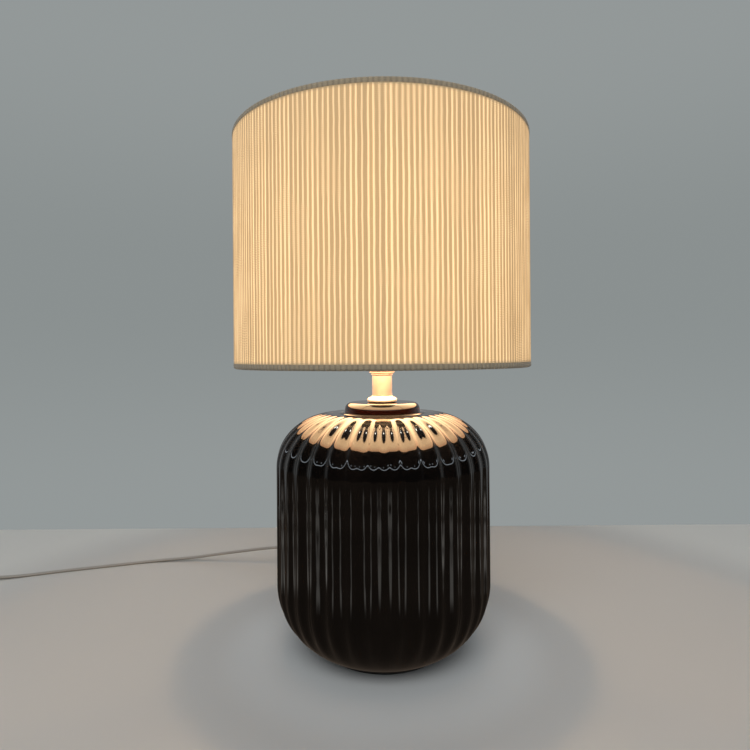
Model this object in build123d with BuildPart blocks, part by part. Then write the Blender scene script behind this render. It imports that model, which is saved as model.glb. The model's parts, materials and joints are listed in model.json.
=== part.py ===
from build123d import *
import math
import os

# Ceramic table lamp: fluted black-glazed body, brass neck, screw lampholder and
# bulb, ribbed fabric drum shade, flat flex with an in-line rocker switch and a
# two-pin plug. Millimetres. The lamp stands on z = 0 with its axis on +Z, its
# front faces -Y and the flex leaves at the back, towards +Y.

# Clearances shared by all pieces
running_gap = 0.3
thread_gap = 0.05
fit_gap = 0.25
overrun = 20.0

# Fluted body
body_radius = 91.3
body_wall = 5.5
corner_width = 60.2
corner_height = 59.4
straight_wall_top = 157.6
shoulder_width = 47.9
shoulder_height = 43.4
foot_radius = 52.0
foot_opening_radius = 40.0
rib_count = 35
rib_depth = 2.0
front_groove_turn = -90
rib_start_radius = 37.5
step_ring_radius = 36.0
step_ring_height = 0.6
collar_radius = 32.7
collar_height = 9.1
collar_round = 5.5
collar_wall = 5.5
rod_hole_radius = 5.4
exit_height = 27.0
exit_hole_radius = 5.3

# Where the body's ribbed sections stand, as shares of a quarter turn of a corner
corner_shares = (0.36, 0.47, 0.58, 0.7, 0.85, 1.0)
corner_depth_shares = (0.0, 0.0, 0.3, 0.75, 1.0, 1.0)
shoulder_shares = (0.0, 0.17, 0.34, 0.51, 0.68, 0.84, 0.95)
shoulder_depth_shares = (1.0, 1.0, 0.95, 0.8, 0.5, 0.25, 0.1)

# Underside
pad_radius = 50.0
pad_thickness = 2.0
board_thickness = 3.0

# Clamping stack inside the collar
rod_radius = 5.0
rod_bore_radius = 3.7
rod_tail = 4.0
rod_head = 7.0
rubber_washer_radius = 16.0
rubber_washer_thickness = 1.5
steel_washer_radius = 14.0
steel_washer_thickness = 1.5
lock_washer_radius = 8.5
lock_washer_thickness = 1.2
nut_width = 17.0
nut_height = 5.0
nut_chamfer = 0.8

# Brass neck
gasket_radius = 11.0
gasket_thickness = 0.6
neck_flange_radius = 12.9
neck_flange_height = 4.8
neck_flange_lip = 1.6
neck_flange_round = 3.0
neck_tube_radius = 8.6
neck_tube_wall = 1.0
neck_tube_length = 18.2
neck_spigot = 2.0
neck_ring_radius = 10.9
neck_ring_height = 3.2
neck_ring_bead = 0.9

# Lampholder
cap_base_radius = 11.5
cap_radius = 18.2
cap_height = 20.0
cap_flare_height = 8.0
cap_flare_shares = (1, 0.45)
cap_wall = 2.2
cap_floor = 8.0
sleeve_radius = 19.6
sleeve_length = 35.5
sleeve_bore_radius = 13.75
sleeve_seat_height = 9.7
sleeve_flange_radius = 22.6
sleeve_flange_height = 2.4
sleeve_spigot = 3.0
sleeve_lip_chamfer = 0.8
insert_radius = 15.2
insert_height = 8.0
insert_rise = 1.5
contact_width = 5.0
contact_length = 9.0
contact_strip = 0.6
contact_lift = 3.0
side_contact_width = 4.0
side_contact_height = 13.0
terminal_pitch = 13.0
terminal_block_width = 6.0
terminal_block_height = 6.0
terminal_screw_radius = 1.5
terminal_screw_head_radius = 2.2
terminal_screw_length = 5.0
grub_radius = 1.5
grub_length = 5.5
grub_height = 4.0

# Bulb
bulb_cap_radius = 13.2
bulb_cap_length = 21.0
bulb_cap_wall = 0.4
bulb_tip_radius = 4.8
bulb_tip_height = 1.6
bulb_insulator_radius = 9.5
bulb_insulator_height = 4.0
bulb_globe_radius = 30.0
bulb_globe_rise = 49.0
bulb_neck_radius = 12.4
bulb_neck_height = 9.0
bulb_glass_wall = 0.8
bulb_waist_radius = 18.0
bulb_waist_rise = 22.0
stem_radius = 2.6
stem_flare_height = 12.0
stem_flare_shares = (-1, 0.4)
stem_length = 34.0
filament_count = 4
filament_radius = 0.9
filament_length = 30.0
filament_spread = 8.5
filament_foot_spread = 4.5
support_radius = 0.35

# Shade
shade_radius = 125.0
shade_height = 194.0
shade_rim_below_fitter = 26.4
cover_thickness = 1.0
liner_thickness = 0.5
edge_inset = 0.8
trim_height = 4.2
trim_thickness = 0.4
wire_radius = 1.3
fitter_ring_radius = 26.5
fitter_ring_thickness = 1.6
spoke_count = 3
spoke_radius = 1.4
spoke_shoulder = 14.0
spoke_bend_radius = 9.0
spoke_weld_share = 0.5
nut_ring_radius = 24.2
nut_ring_height = 7.0
nut_ring_notch_radius = 1.6
nut_ring_notches = 18

# Flat twin flex
flex_width = 5.2
flex_thickness = 2.6
run_share = 0.45
core_radius = 0.8
core_rise_share = 0.25
lead_straight = 10.0
lead_low_offset = 12.0
lead_low_height = 62.0
lead_high_height = 112.0
lead_bend_radius = 28.0

# Cable bushing
bushing_flange_radius = 8.2
bushing_shank_radius = 5.05
bushing_inner_lip_radius = 6.4
bushing_inner_lip = 2.0
bushing_tail = 22.0
bushing_tail_radius = 3.5
bushing_flange_depth = 3.0

# In-line switch
switch_length = 66.0
switch_width = 25.0
switch_height = 17.0
switch_split = 8.0
switch_end_width = 13.0
switch_round = 3.0
switch_wall = 2.0
rocker_length = 20.0
rocker_width = 11.0
rocker_depth = 6.0
rocker_stand = 2.6
rocker_tilt = 8.0
rocker_pivot_drop = 3.4
rocker_pin_radius = 1.5
rocker_pin_length = 1.2
switch_screw_radius = 1.5
switch_screw_head_radius = 2.8
switch_screw_offset = 21.5
strip_width = 5.0
strip_length = 12.0
strip_thickness = 0.8

contact_spread = 24.0

# Plug
plug_lead_run = 10.5
plug_face_width = 35.3
plug_face_height = 13.7
plug_side_height = 7.6
plug_depth = 30.0
plug_neck_width = 13.0
plug_neck_height = 10.0
plug_boot_length = 22.0
plug_boot_radius = 4.4
plug_boot_tip_radius = 3.4
pin_pitch = 18.6
pin_radius = 2.0
pin_length = 19.0
pin_root = 8.0
pin_core_radius = 1.4
pin_sleeve_radius = 1.9
pin_sleeve_length = 10.0

# Coil of put-away flex
coil_inner_radius = 20.9
coil_turn_pitch = 5.7
coil_layer_pitch = 3.6
coil_turns = 3
coil_climb_share = 0.22
coil_lead_run = 18.0
tie_width = 3.0
tie_thickness = 0.7
tie_gap = 0.3

os.makedirs("parts", exist_ok=True)


def finish(builder, label):
    """Label a finished sub-part and write its STEP file."""
    builder.part.label = label
    export_step(builder.part, f"parts/{label}.step")


def corner_point(share, depth):
    """Point on the lower corner, a depth inside the crest line."""
    turn = math.radians(90 * share)
    radius = body_radius - corner_width + (corner_width - depth) * math.sin(turn)
    return radius, corner_height - (corner_height - depth) * math.cos(turn)


def shoulder_point(share, depth):
    """Point on the shoulder, a depth inside the crest line."""
    turn = math.radians(90 * share)
    radius = body_radius - shoulder_width + (shoulder_width - depth) * math.cos(turn)
    return radius, straight_wall_top + (shoulder_height - depth) * math.sin(turn)


def rib_station(point_at, share, depth_share):
    """Crest and groove points of one section of the ribbed skin."""
    crest = point_at(share, 0)
    depth = rib_depth * depth_share * crest[0] / body_radius
    return crest, point_at(share, depth)


def ring_of_ribs(crest, groove):
    """Closed wire of waves: an arc through each groove and an arc over each crest."""
    step = math.pi / rib_count
    flank = tuple((outer + inner) / 2 for outer, inner in zip(crest, groove))

    def place(radius_and_height, turn):
        radius, height = radius_and_height
        return radius * math.cos(turn), radius * math.sin(turn), height

    arcs = []
    for index in range(2 * rib_count):
        middle = math.radians(front_groove_turn) + index * step
        arcs.append(
            Edge.make_three_point_arc(
                place(flank, middle - step / 2),
                place(crest if index % 2 else groove, middle),
                place(flank, middle + step / 2),
            )
        )
    return Wire(arcs)


# Heights of the body, from the table up
shoulder_top = straight_wall_top + shoulder_height
collar_top = shoulder_top + collar_height
collar_ceiling = collar_top - collar_wall
foot_turn = math.asin((foot_radius - body_radius + corner_width) / corner_width)
foot_join = corner_height * (1 - math.cos(foot_turn))
under_share = (foot_turn / math.pi * 2 + corner_shares[0]) / 2
inner_floor = pad_thickness + body_wall

# Fluted body: the ribbed skin is lofted through rings of arcs, then hollowed
stations = []
for share, depth_share in zip(corner_shares, corner_depth_shares):
    stations.append(rib_station(corner_point, share, depth_share))
for share, depth_share in zip(shoulder_shares, shoulder_depth_shares):
    stations.append(rib_station(shoulder_point, share, depth_share))
rib_end = (rib_start_radius, shoulder_top)
stations.append((rib_end, rib_end))
rings = [ring_of_ribs(crest, groove) for crest, groove in stations]
skin_start = stations[0][0]

with BuildPart() as ceramic_body:
    add(Solid.make_loft(rings, True))
    with BuildSketch(Plane.XZ):
        with BuildLine():
            Polyline(
                skin_start,
                (0, skin_start[1]),
                (0, pad_thickness),
                (foot_radius, pad_thickness),
                (foot_radius, foot_join),
            )
            ThreePointArc(
                (foot_radius, foot_join), corner_point(under_share, 0), skin_start
            )
        make_face()
    revolve(axis=Axis.Z)
    with BuildSketch(Plane.XZ):
        with BuildLine():
            Polyline(
                (0, straight_wall_top),
                (rib_start_radius, straight_wall_top),
                (rib_start_radius, shoulder_top),
                (step_ring_radius, shoulder_top + step_ring_height),
                (collar_radius, shoulder_top + step_ring_height),
                (collar_radius, collar_top),
                (0, collar_top),
                (0, straight_wall_top),
            )
        make_face()
    revolve(axis=Axis.Z)
    rim = ceramic_body.edges().filter_by(GeomType.CIRCLE).group_by(Axis.Z)[-1]
    fillet(rim.sort_by(SortBy.RADIUS)[-1], collar_round)
    with BuildSketch(Plane.XZ):
        with BuildLine():
            corner_reach = corner_width - body_wall
            corner_rise = corner_height - inner_floor
            corner_foot = math.acos(
                (foot_opening_radius - body_radius + corner_width) / corner_reach
            )
            inner_corner = EllipticalCenterArc(
                (body_radius - corner_width, corner_height),
                corner_reach,
                corner_rise,
                start_angle=-math.degrees(corner_foot),
                arc_size=math.degrees(corner_foot),
            )
            inner_wall = Line(
                inner_corner @ 1, (body_radius - body_wall, straight_wall_top)
            )
            inner_shoulder = EllipticalCenterArc(
                (body_radius - shoulder_width, straight_wall_top),
                shoulder_width - body_wall,
                shoulder_height - body_wall,
                arc_size=90,
            )
            Polyline(
                inner_shoulder @ 1,
                (collar_radius - collar_wall, shoulder_top - body_wall),
                (collar_radius - collar_wall, collar_ceiling),
                (0, collar_ceiling),
                (0, -overrun),
                (foot_opening_radius, -overrun),
                inner_corner @ 0,
            )
        make_face()
    revolve(axis=Axis.Z, mode=Mode.SUBTRACT)
    with BuildSketch(Plane.XY.offset(shoulder_top)):
        Circle(rod_hole_radius)
    extrude(amount=overrun, mode=Mode.SUBTRACT)
    with BuildSketch(Plane.XZ.offset(-body_radius - overrun)):
        with Locations((0, exit_height)):
            Circle(exit_hole_radius)
    extrude(amount=body_radius, mode=Mode.SUBTRACT)
finish(ceramic_body, "ceramic_body")

# Underside: a stiff board in the foot's opening and a soft pad under both
with BuildPart() as foot_pad:
    with BuildSketch():
        Circle(pad_radius)
    extrude(amount=pad_thickness)
finish(foot_pad, "foot_pad")

with BuildPart() as base_board:
    with BuildSketch(Plane.XY.offset(pad_thickness)):
        Circle(foot_opening_radius - fit_gap)
    extrude(amount=board_thickness)
finish(base_board, "base_board")

# Clamping stack under the collar's ceiling: rubber, steel, lock washer, nut
rubber_bottom = collar_ceiling - rubber_washer_thickness
steel_bottom = rubber_bottom - steel_washer_thickness
lock_bottom = steel_bottom - lock_washer_thickness
nut_bottom = lock_bottom - nut_height
rod_bottom = nut_bottom - rod_tail


def washer(bottom, thickness, outer_radius, hole_radius):
    """Flat ring about the lamp's axis."""
    with BuildPart() as ring:
        with BuildSketch(Plane.XY.offset(bottom)):
            Circle(outer_radius)
            Circle(hole_radius, mode=Mode.SUBTRACT)
        extrude(amount=thickness)
    return ring


rod_hole = rod_radius + fit_gap
rubber_washer = washer(
    rubber_bottom, rubber_washer_thickness, rubber_washer_radius, rod_hole
)
finish(rubber_washer, "rubber_washer")
steel_washer = washer(
    steel_bottom, steel_washer_thickness, steel_washer_radius, rod_hole
)
finish(steel_washer, "steel_washer")
lock_washer = washer(lock_bottom, lock_washer_thickness, lock_washer_radius, rod_hole)
finish(lock_washer, "lock_washer")

with BuildPart() as clamp_nut:
    with BuildSketch(Plane.XY.offset(nut_bottom)):
        RegularPolygon(nut_width / 2, 6, major_radius=False)
        Circle(rod_radius + thread_gap, mode=Mode.SUBTRACT)
    extrude(amount=nut_height)
    with BuildSketch(Plane.XZ):
        with BuildLine():
            nut_corner = nut_width / math.sqrt(3)
            Polyline(
                (nut_width / 2, nut_bottom),
                (nut_corner + nut_chamfer, nut_bottom + nut_chamfer),
                (nut_corner + nut_chamfer, nut_bottom),
                close=True,
            )
        make_face()
    revolve(axis=Axis.Z, mode=Mode.SUBTRACT)
finish(clamp_nut, "clamp_nut")

# Brass neck between the collar and the lampholder
gasket_top = collar_top + gasket_thickness
tube_bottom = gasket_top + neck_flange_height
tube_top = tube_bottom + neck_tube_length
holder_bottom = tube_top + neck_ring_height
fitter_seat = holder_bottom + cap_height + sleeve_seat_height
rod_top = holder_bottom + rod_head

with BuildPart() as threaded_rod:
    with BuildSketch(Plane.XY.offset(rod_bottom)):
        Circle(rod_radius)
        Circle(rod_bore_radius, mode=Mode.SUBTRACT)
    extrude(amount=rod_top - rod_bottom)
finish(threaded_rod, "threaded_rod")

neck_gasket = washer(collar_top, gasket_thickness, gasket_radius, rod_hole)
finish(neck_gasket, "neck_gasket")

with BuildPart() as neck_flange:
    with BuildSketch(Plane.XZ):
        with BuildLine():
            lip = Polyline(
                (rod_hole, gasket_top),
                (neck_flange_radius, gasket_top),
                (neck_flange_radius, gasket_top + neck_flange_lip),
            )
            shoulder = RadiusArc(
                lip @ 1,
                (neck_flange_radius - neck_flange_round, tube_bottom),
                -neck_flange_round - neck_flange_height + neck_flange_lip,
            )
            Polyline(
                shoulder @ 1,
                (neck_tube_radius - neck_tube_wall - fit_gap, tube_bottom),
                (neck_tube_radius - neck_tube_wall - fit_gap, tube_bottom + neck_spigot),
                (rod_hole, tube_bottom + neck_spigot),
                (rod_hole, gasket_top),
            )
        make_face()
    revolve(axis=Axis.Z)
finish(neck_flange, "neck_flange")

neck_tube = washer(
    tube_bottom,
    neck_tube_length,
    neck_tube_radius,
    neck_tube_radius - neck_tube_wall,
)
finish(neck_tube, "neck_tube")

with BuildPart() as neck_ring:
    with BuildSketch(Plane.XZ):
        with BuildLine():
            bead = neck_tube_radius + neck_ring_bead
            plate_bottom = holder_bottom - neck_ring_height / 2
            Polyline(
                (rod_hole, tube_top - neck_spigot),
                (neck_tube_radius - neck_tube_wall - fit_gap, tube_top - neck_spigot),
                (neck_tube_radius - neck_tube_wall - fit_gap, tube_top),
                (bead, tube_top),
                (bead, plate_bottom),
                (neck_ring_radius, plate_bottom),
                (neck_ring_radius, holder_bottom),
                (rod_hole, holder_bottom),
                close=True,
            )
        make_face()
    revolve(axis=Axis.Z)
    outer = neck_ring.edges().filter_by(GeomType.CIRCLE).sort_by(SortBy.RADIUS)
    fillet(outer[-2:], neck_ring_height / 6)
finish(neck_ring, "neck_ring")

# Lampholder: threaded cap, insert with its contacts, and threaded sleeve
cap_top = holder_bottom + cap_height
insert_bottom = cap_top - insert_height + insert_rise
insert_top = insert_bottom + insert_height
sleeve_top = cap_top + sleeve_length
contact_top = insert_top + contact_lift

with BuildPart() as holder_cap:
    with BuildSketch(Plane.XZ):
        with BuildLine():
            inner_cap_radius = cap_radius - cap_wall
            outline = Polyline(
                (rod_radius + thread_gap, holder_bottom),
                (cap_base_radius, holder_bottom),
            )
            flare = TangentArc(
                outline @ 1,
                (cap_radius, holder_bottom + cap_flare_height),
                tangent=cap_flare_shares,
            )
            Polyline(
                flare @ 1,
                (cap_radius, cap_top),
                (inner_cap_radius, cap_top),
                (inner_cap_radius, holder_bottom + cap_flare_height),
                (inner_cap_radius - cap_wall, holder_bottom + cap_floor),
                (rod_radius + thread_gap, holder_bottom + cap_floor),
                (rod_radius + thread_gap, holder_bottom),
            )
        make_face()
    revolve(axis=Axis.Z)
    with BuildSketch(Plane.YZ.offset(-rod_radius)):
        with Locations((0, holder_bottom + grub_height)):
            Circle(grub_radius)
    extrude(amount=-overrun, mode=Mode.SUBTRACT)
finish(holder_cap, "holder_cap")

with BuildPart() as grub_screw:
    with BuildSketch(Plane.YZ.offset(-rod_radius - thread_gap)):
        with Locations((0, holder_bottom + grub_height)):
            Circle(grub_radius - thread_gap)
    extrude(amount=-grub_length)
finish(grub_screw, "grub_screw")

with BuildPart() as holder_sleeve:
    with BuildSketch(Plane.XZ):
        with BuildLine():
            spigot_radius = cap_radius - cap_wall - thread_gap
            flange_bottom = fitter_seat - sleeve_flange_height
            cavity_radius = insert_radius + fit_gap
            Polyline(
                (cavity_radius, cap_top - sleeve_spigot),
                (spigot_radius, cap_top - sleeve_spigot),
                (spigot_radius, cap_top),
                (sleeve_radius, cap_top),
                (sleeve_radius, flange_bottom),
                (sleeve_flange_radius, flange_bottom),
                (sleeve_flange_radius, fitter_seat),
                (sleeve_radius, fitter_seat),
                (sleeve_radius, sleeve_top),
                (sleeve_bore_radius, sleeve_top),
                (sleeve_bore_radius, insert_top),
                (cavity_radius, insert_top),
                close=True,
            )
        make_face()
    revolve(axis=Axis.Z)
    lip = holder_sleeve.edges().filter_by(GeomType.CIRCLE).group_by(Axis.Z)[-1]
    chamfer(lip, sleeve_lip_chamfer)
finish(holder_sleeve, "holder_sleeve")

with BuildPart() as holder_insert:
    with BuildSketch(Plane.XY.offset(insert_bottom)):
        Circle(insert_radius)
        with Locations((-terminal_pitch / 2, 0), (terminal_pitch / 2, 0)):
            RectangleRounded(
                terminal_block_width + fit_gap, terminal_block_width + fit_gap, fit_gap
            )
    extrude(amount=insert_height)
    with BuildSketch(Plane.XY.offset(insert_bottom)):
        with Locations((-terminal_pitch / 2, 0), (terminal_pitch / 2, 0)):
            Rectangle(terminal_block_width + fit_gap, terminal_block_width + fit_gap)
    extrude(amount=terminal_block_height, mode=Mode.SUBTRACT)
finish(holder_insert, "holder_insert")

with BuildPart() as terminal_blocks:
    with BuildSketch(Plane.XY.offset(insert_bottom)):
        with Locations((-terminal_pitch / 2, 0), (terminal_pitch / 2, 0)):
            Rectangle(terminal_block_width, terminal_block_width)
    extrude(amount=terminal_block_height)
    with BuildSketch(Plane.XY.offset(insert_bottom)):
        with Locations((-terminal_pitch / 2, 0), (terminal_pitch / 2, 0)):
            Circle(terminal_screw_radius + thread_gap)
    extrude(amount=terminal_screw_length, mode=Mode.SUBTRACT)
finish(terminal_blocks, "terminal_blocks")

with BuildPart() as terminal_screws:
    with BuildSketch(Plane.XY.offset(insert_bottom)):
        with Locations((-terminal_pitch / 2, 0), (terminal_pitch / 2, 0)):
            Circle(terminal_screw_radius)
    extrude(amount=terminal_screw_length - thread_gap)
    with BuildSketch(Plane.XY.offset(insert_bottom)):
        with Locations((-terminal_pitch / 2, 0), (terminal_pitch / 2, 0)):
            Circle(terminal_screw_head_radius)
    extrude(amount=-terminal_screw_radius)
finish(terminal_screws, "terminal_screws")

with BuildPart() as centre_contact:
    with BuildSketch(Plane.XZ.offset(-contact_width / 2)):
        with BuildLine():
            Polyline(
                (-contact_length / 2, insert_top + contact_strip),
                (-contact_strip, insert_top + contact_strip),
                (contact_lift, contact_top),
                (contact_length / 2, contact_top),
                (contact_length / 2, contact_top - contact_strip),
                (contact_lift, contact_top - contact_strip),
                (0, insert_top),
                (-contact_length / 2, insert_top),
                close=True,
            )
        make_face()
    extrude(amount=contact_width)
finish(centre_contact, "centre_contact")

with BuildPart() as side_contact:
    with BuildSketch(Plane.YZ.offset(-side_contact_width / 2)):
        with BuildLine():
            blade = math.sqrt(sleeve_bore_radius**2 - side_contact_width**2 / 4)
            foot_end = blade - side_contact_width
            Polyline(
                (blade, insert_top),
                (blade, insert_top + side_contact_height),
                (blade - contact_strip / 2, insert_top + side_contact_height),
                (blade - contact_strip / 2, insert_top + contact_strip),
                (foot_end, insert_top + contact_strip),
                (foot_end, insert_top),
                close=True,
            )
        make_face()
    extrude(amount=side_contact_width)
finish(side_contact, "side_contact")

# Screw bulb, resting just clear of the centre contact
bulb_bottom = contact_top + running_gap
bulb_cap_bottom = bulb_bottom + bulb_tip_height + bulb_insulator_height
bulb_cap_top = bulb_cap_bottom + bulb_cap_length
glass_bottom = bulb_cap_top - bulb_neck_height
globe_centre = bulb_cap_top + bulb_globe_rise
globe_top = globe_centre + bulb_globe_radius

with BuildPart() as bulb_tip:
    with BuildSketch(Plane.XY.offset(bulb_bottom)):
        Circle(bulb_tip_radius)
    extrude(amount=bulb_tip_height)
    chamfer(bulb_tip.edges().group_by(Axis.Z)[0], bulb_tip_height / 2)
finish(bulb_tip, "bulb_tip")

with BuildPart() as bulb_insulator:
    with BuildSketch(Plane.XY.offset(bulb_bottom + bulb_tip_height)):
        Circle(bulb_tip_radius)
    with BuildSketch(Plane.XY.offset(bulb_cap_bottom)):
        Circle(bulb_insulator_radius)
    loft()
finish(bulb_insulator, "bulb_insulator")

with BuildPart() as bulb_cap:
    with BuildSketch(Plane.XZ):
        with BuildLine():
            inner_shell = bulb_cap_radius - bulb_cap_wall
            taper = bulb_cap_radius - bulb_insulator_radius
            Polyline(
                (0, bulb_cap_bottom),
                (bulb_insulator_radius, bulb_cap_bottom),
                (bulb_cap_radius, bulb_cap_bottom + taper),
                (bulb_cap_radius, bulb_cap_top),
                (inner_shell, bulb_cap_top),
                (inner_shell, bulb_cap_bottom + taper),
                (bulb_insulator_radius, bulb_cap_bottom + bulb_cap_wall),
                (0, bulb_cap_bottom + bulb_cap_wall),
                close=True,
            )
        make_face()
    revolve(axis=Axis.Z)
finish(bulb_cap, "bulb_cap")


def bulb_outline(inset):
    """Right half of the bulb's outline, from the neck's edge to the top."""
    waist = (bulb_waist_radius - inset, bulb_cap_top + bulb_waist_rise)
    neck_radius = bulb_neck_radius - inset
    start = Line((neck_radius, glass_bottom), (neck_radius, bulb_cap_top))
    flank = Spline(
        start @ 1,
        waist,
        (bulb_globe_radius - inset, globe_centre),
        tangents=((0, 1), (0, 1)),
    )
    crown = RadiusArc(flank @ 1, (0, globe_top - inset), -bulb_globe_radius + inset)
    return start, crown


with BuildPart() as bulb_glass:
    with BuildSketch(Plane.XZ):
        with BuildLine():
            neck, crown = bulb_outline(0)
            Polyline(neck @ 0, (0, glass_bottom), crown @ 1)
        make_face()
        with BuildLine():
            neck, crown = bulb_outline(bulb_glass_wall)
            Polyline(neck @ 0, (0, glass_bottom), crown @ 1)
        make_face(mode=Mode.SUBTRACT)
    revolve(axis=Axis.Z)
finish(bulb_glass, "bulb_glass")

stem_top = glass_bottom + stem_length
stem_base = bulb_neck_radius - bulb_glass_wall
with BuildPart() as bulb_stem:
    with BuildSketch(Plane.XZ):
        with BuildLine():
            rim = Line((0, glass_bottom), (stem_base, glass_bottom))
            Line(rim @ 1, (stem_base, glass_bottom + stem_radius))
            flare = Spline(
                (stem_base, glass_bottom + stem_radius),
                (stem_radius, glass_bottom + stem_flare_height),
                tangents=(stem_flare_shares, (0, 1)),
            )
            Polyline(flare @ 1, (stem_radius, stem_top), (0, stem_top), (0, glass_bottom))
        make_face()
    revolve(axis=Axis.Z)
finish(bulb_stem, "bulb_stem")


def rod_between(start, end, radius):
    """Straight round rod between two points."""
    line = Vector(*end) - Vector(*start)
    with BuildPart() as rod:
        with BuildSketch(Plane(origin=start, z_dir=line)):
            Circle(radius)
        extrude(amount=line.length)
    return rod.part


def around(radius, height, turn):
    """Point at a radius, height and angle in degrees about the lamp's axis."""
    angle = math.radians(turn)
    return radius * math.cos(angle), radius * math.sin(angle), height


filament_turns = [360 / filament_count * (index + 0.5) for index in range(filament_count)]
filament_foot = stem_top + filament_foot_spread
filament_head = filament_foot + filament_length

with BuildPart() as bulb_filaments:
    for turn in filament_turns:
        low = around(filament_foot_spread, filament_foot, turn)
        high = around(filament_spread, filament_head, turn)
        add(rod_between(low, high, filament_radius))
finish(bulb_filaments, "bulb_filaments")

with BuildPart() as filament_supports:
    mast_foot = (0, 0, stem_top)
    mast_fork = (0, 0, stem_top + 2 * support_radius)
    mast_head = (0, 0, filament_head + 2 * filament_radius + support_radius)
    add(rod_between(mast_foot, mast_head, support_radius))
    for turn in filament_turns:
        above = around(filament_spread, filament_head + filament_radius, turn)
        add(rod_between(mast_head, above, support_radius))
        below = around(filament_foot_spread, filament_foot - filament_radius, turn)
        add(rod_between(mast_fork, below, support_radius))
finish(filament_supports, "filament_supports")

# Shade: welded frame, ribbed cover on a stiff liner, wires inside rolled edges
fitter_bottom = fitter_seat + running_gap
fitter_top = fitter_bottom + fitter_ring_thickness
rim_bottom = fitter_bottom - shade_rim_below_fitter
rim_top = rim_bottom + shade_height
liner_radius = shade_radius - cover_thickness
wire_centre = liner_radius - liner_thickness - wire_radius
wire_bottom = rim_bottom + trim_thickness + wire_radius
wire_top = rim_top - trim_thickness - wire_radius
sheet_height = shade_height - 2 * trim_thickness

shade_cover = washer(
    rim_bottom + trim_thickness, sheet_height, shade_radius, liner_radius
)
finish(shade_cover, "shade_cover")
shade_liner = washer(
    rim_bottom + trim_thickness, sheet_height, liner_radius, liner_radius - liner_thickness
)
finish(shade_liner, "shade_liner")

with BuildPart() as shade_top_wire:
    with BuildSketch(Plane.XZ):
        with Locations((wire_centre, wire_top)):
            Circle(wire_radius)
    revolve(axis=Axis.Z)
finish(shade_top_wire, "shade_top_wire")

with BuildPart() as shade_bottom_wire:
    with BuildSketch(Plane.XZ):
        with Locations((wire_centre, wire_bottom)):
            Circle(wire_radius)
    revolve(axis=Axis.Z)
finish(shade_bottom_wire, "shade_bottom_wire")

with BuildPart() as shade_fitter:
    with BuildSketch(Plane.XY.offset(fitter_bottom)):
        Circle(fitter_ring_radius)
        Circle(sleeve_radius + running_gap + thread_gap, mode=Mode.SUBTRACT)
    extrude(amount=fitter_ring_thickness)
finish(shade_fitter, "shade_fitter")

# Each spoke laps under the fitter ring and is saddled on the bottom wire
hub_height = fitter_top - spoke_radius
spoke_knee = Vector(wire_centre - spoke_shoulder, hub_height)
wire_spot = Vector(wire_centre, wire_bottom)
spoke_foot = wire_spot + (spoke_knee - wire_spot).normalized() * wire_radius * spoke_weld_share

with BuildPart() as spoke:
    with BuildLine(Plane.XZ):
        spoke_line = FilletPolyline(
            (sleeve_flange_radius + running_gap, hub_height),
            (spoke_knee.X, spoke_knee.Y),
            (spoke_foot.X, spoke_foot.Y),
            radius=spoke_bend_radius,
        )
    with BuildSketch(Plane(origin=spoke_line @ 0, z_dir=spoke_line % 0)):
        Circle(spoke_radius)
    sweep()

with BuildPart() as shade_spokes:
    with PolarLocations(0, spoke_count, start_angle=90):
        add(spoke.part)
    add(shade_fitter.part, mode=Mode.SUBTRACT)
    add(shade_bottom_wire.part, mode=Mode.SUBTRACT)
finish(shade_spokes, "shade_spokes")


def edge_trim(edge, inward):
    """Folded edge of the fabric around a wire; inward is 1 upwards, -1 downwards."""
    outside = shade_radius + trim_thickness
    inside = wire_centre - wire_radius
    with BuildPart() as trim:
        with BuildSketch(Plane.XZ):
            with BuildLine():
                Polyline(
                    (outside, edge),
                    (outside, edge + inward * trim_height),
                    (shade_radius, edge + inward * trim_height),
                    (shade_radius, edge + inward * trim_thickness),
                    (inside, edge + inward * trim_thickness),
                    (inside, edge + inward * trim_height),
                    (inside - trim_thickness, edge + inward * trim_height),
                    (inside - trim_thickness, edge),
                    close=True,
                )
            make_face()
        revolve(axis=Axis.Z)
    return trim


top_trim = edge_trim(rim_top, -1)
finish(top_trim, "shade_top_trim")
bottom_trim = edge_trim(rim_bottom, 1)
with BuildPart() as shade_bottom_trim:
    add(bottom_trim)
    with PolarLocations(0, spoke_count, start_angle=90):
        with Locations((wire_centre - wire_radius, 0, wire_bottom + trim_height / 2)):
            slit = 2 * (spoke_radius + running_gap)
            slit_height = trim_height + wire_radius
            Box(2 * wire_radius, slit, slit_height, mode=Mode.SUBTRACT)
finish(shade_bottom_trim, "shade_bottom_trim")

with BuildPart() as shade_ring:
    ring_bottom = fitter_top + running_gap
    with BuildSketch(Plane.XY.offset(ring_bottom)):
        Circle(nut_ring_radius)
        Circle(sleeve_radius + running_gap, mode=Mode.SUBTRACT)
        with PolarLocations(nut_ring_radius, nut_ring_notches):
            Circle(nut_ring_notch_radius, mode=Mode.SUBTRACT)
    extrude(amount=nut_ring_height)
finish(shade_ring, "shade_ring")

# Bushing where the flex leaves the body; its seat follows the glazed surface
flange_low = (corner_height - exit_height - bushing_flange_radius) / corner_height
flange_reach = body_radius - corner_width + corner_width * math.sin(math.acos(flange_low))
flange_face = flange_reach + bushing_flange_depth
lip_low = corner_height - exit_height + bushing_inner_lip_radius
lip_turn = math.acos(lip_low / (corner_height - inner_floor))
lip_reach = body_radius - corner_width + (corner_width - body_wall) * math.sin(lip_turn)
bushing_root = lip_reach - running_gap
tail_end = flange_face + bushing_tail


def flex_profile(gap=0):
    """Flat twin section of the flex, grown by a gap for what it passes through."""
    SlotOverall(flex_width + gap, flex_thickness + gap)


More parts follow.
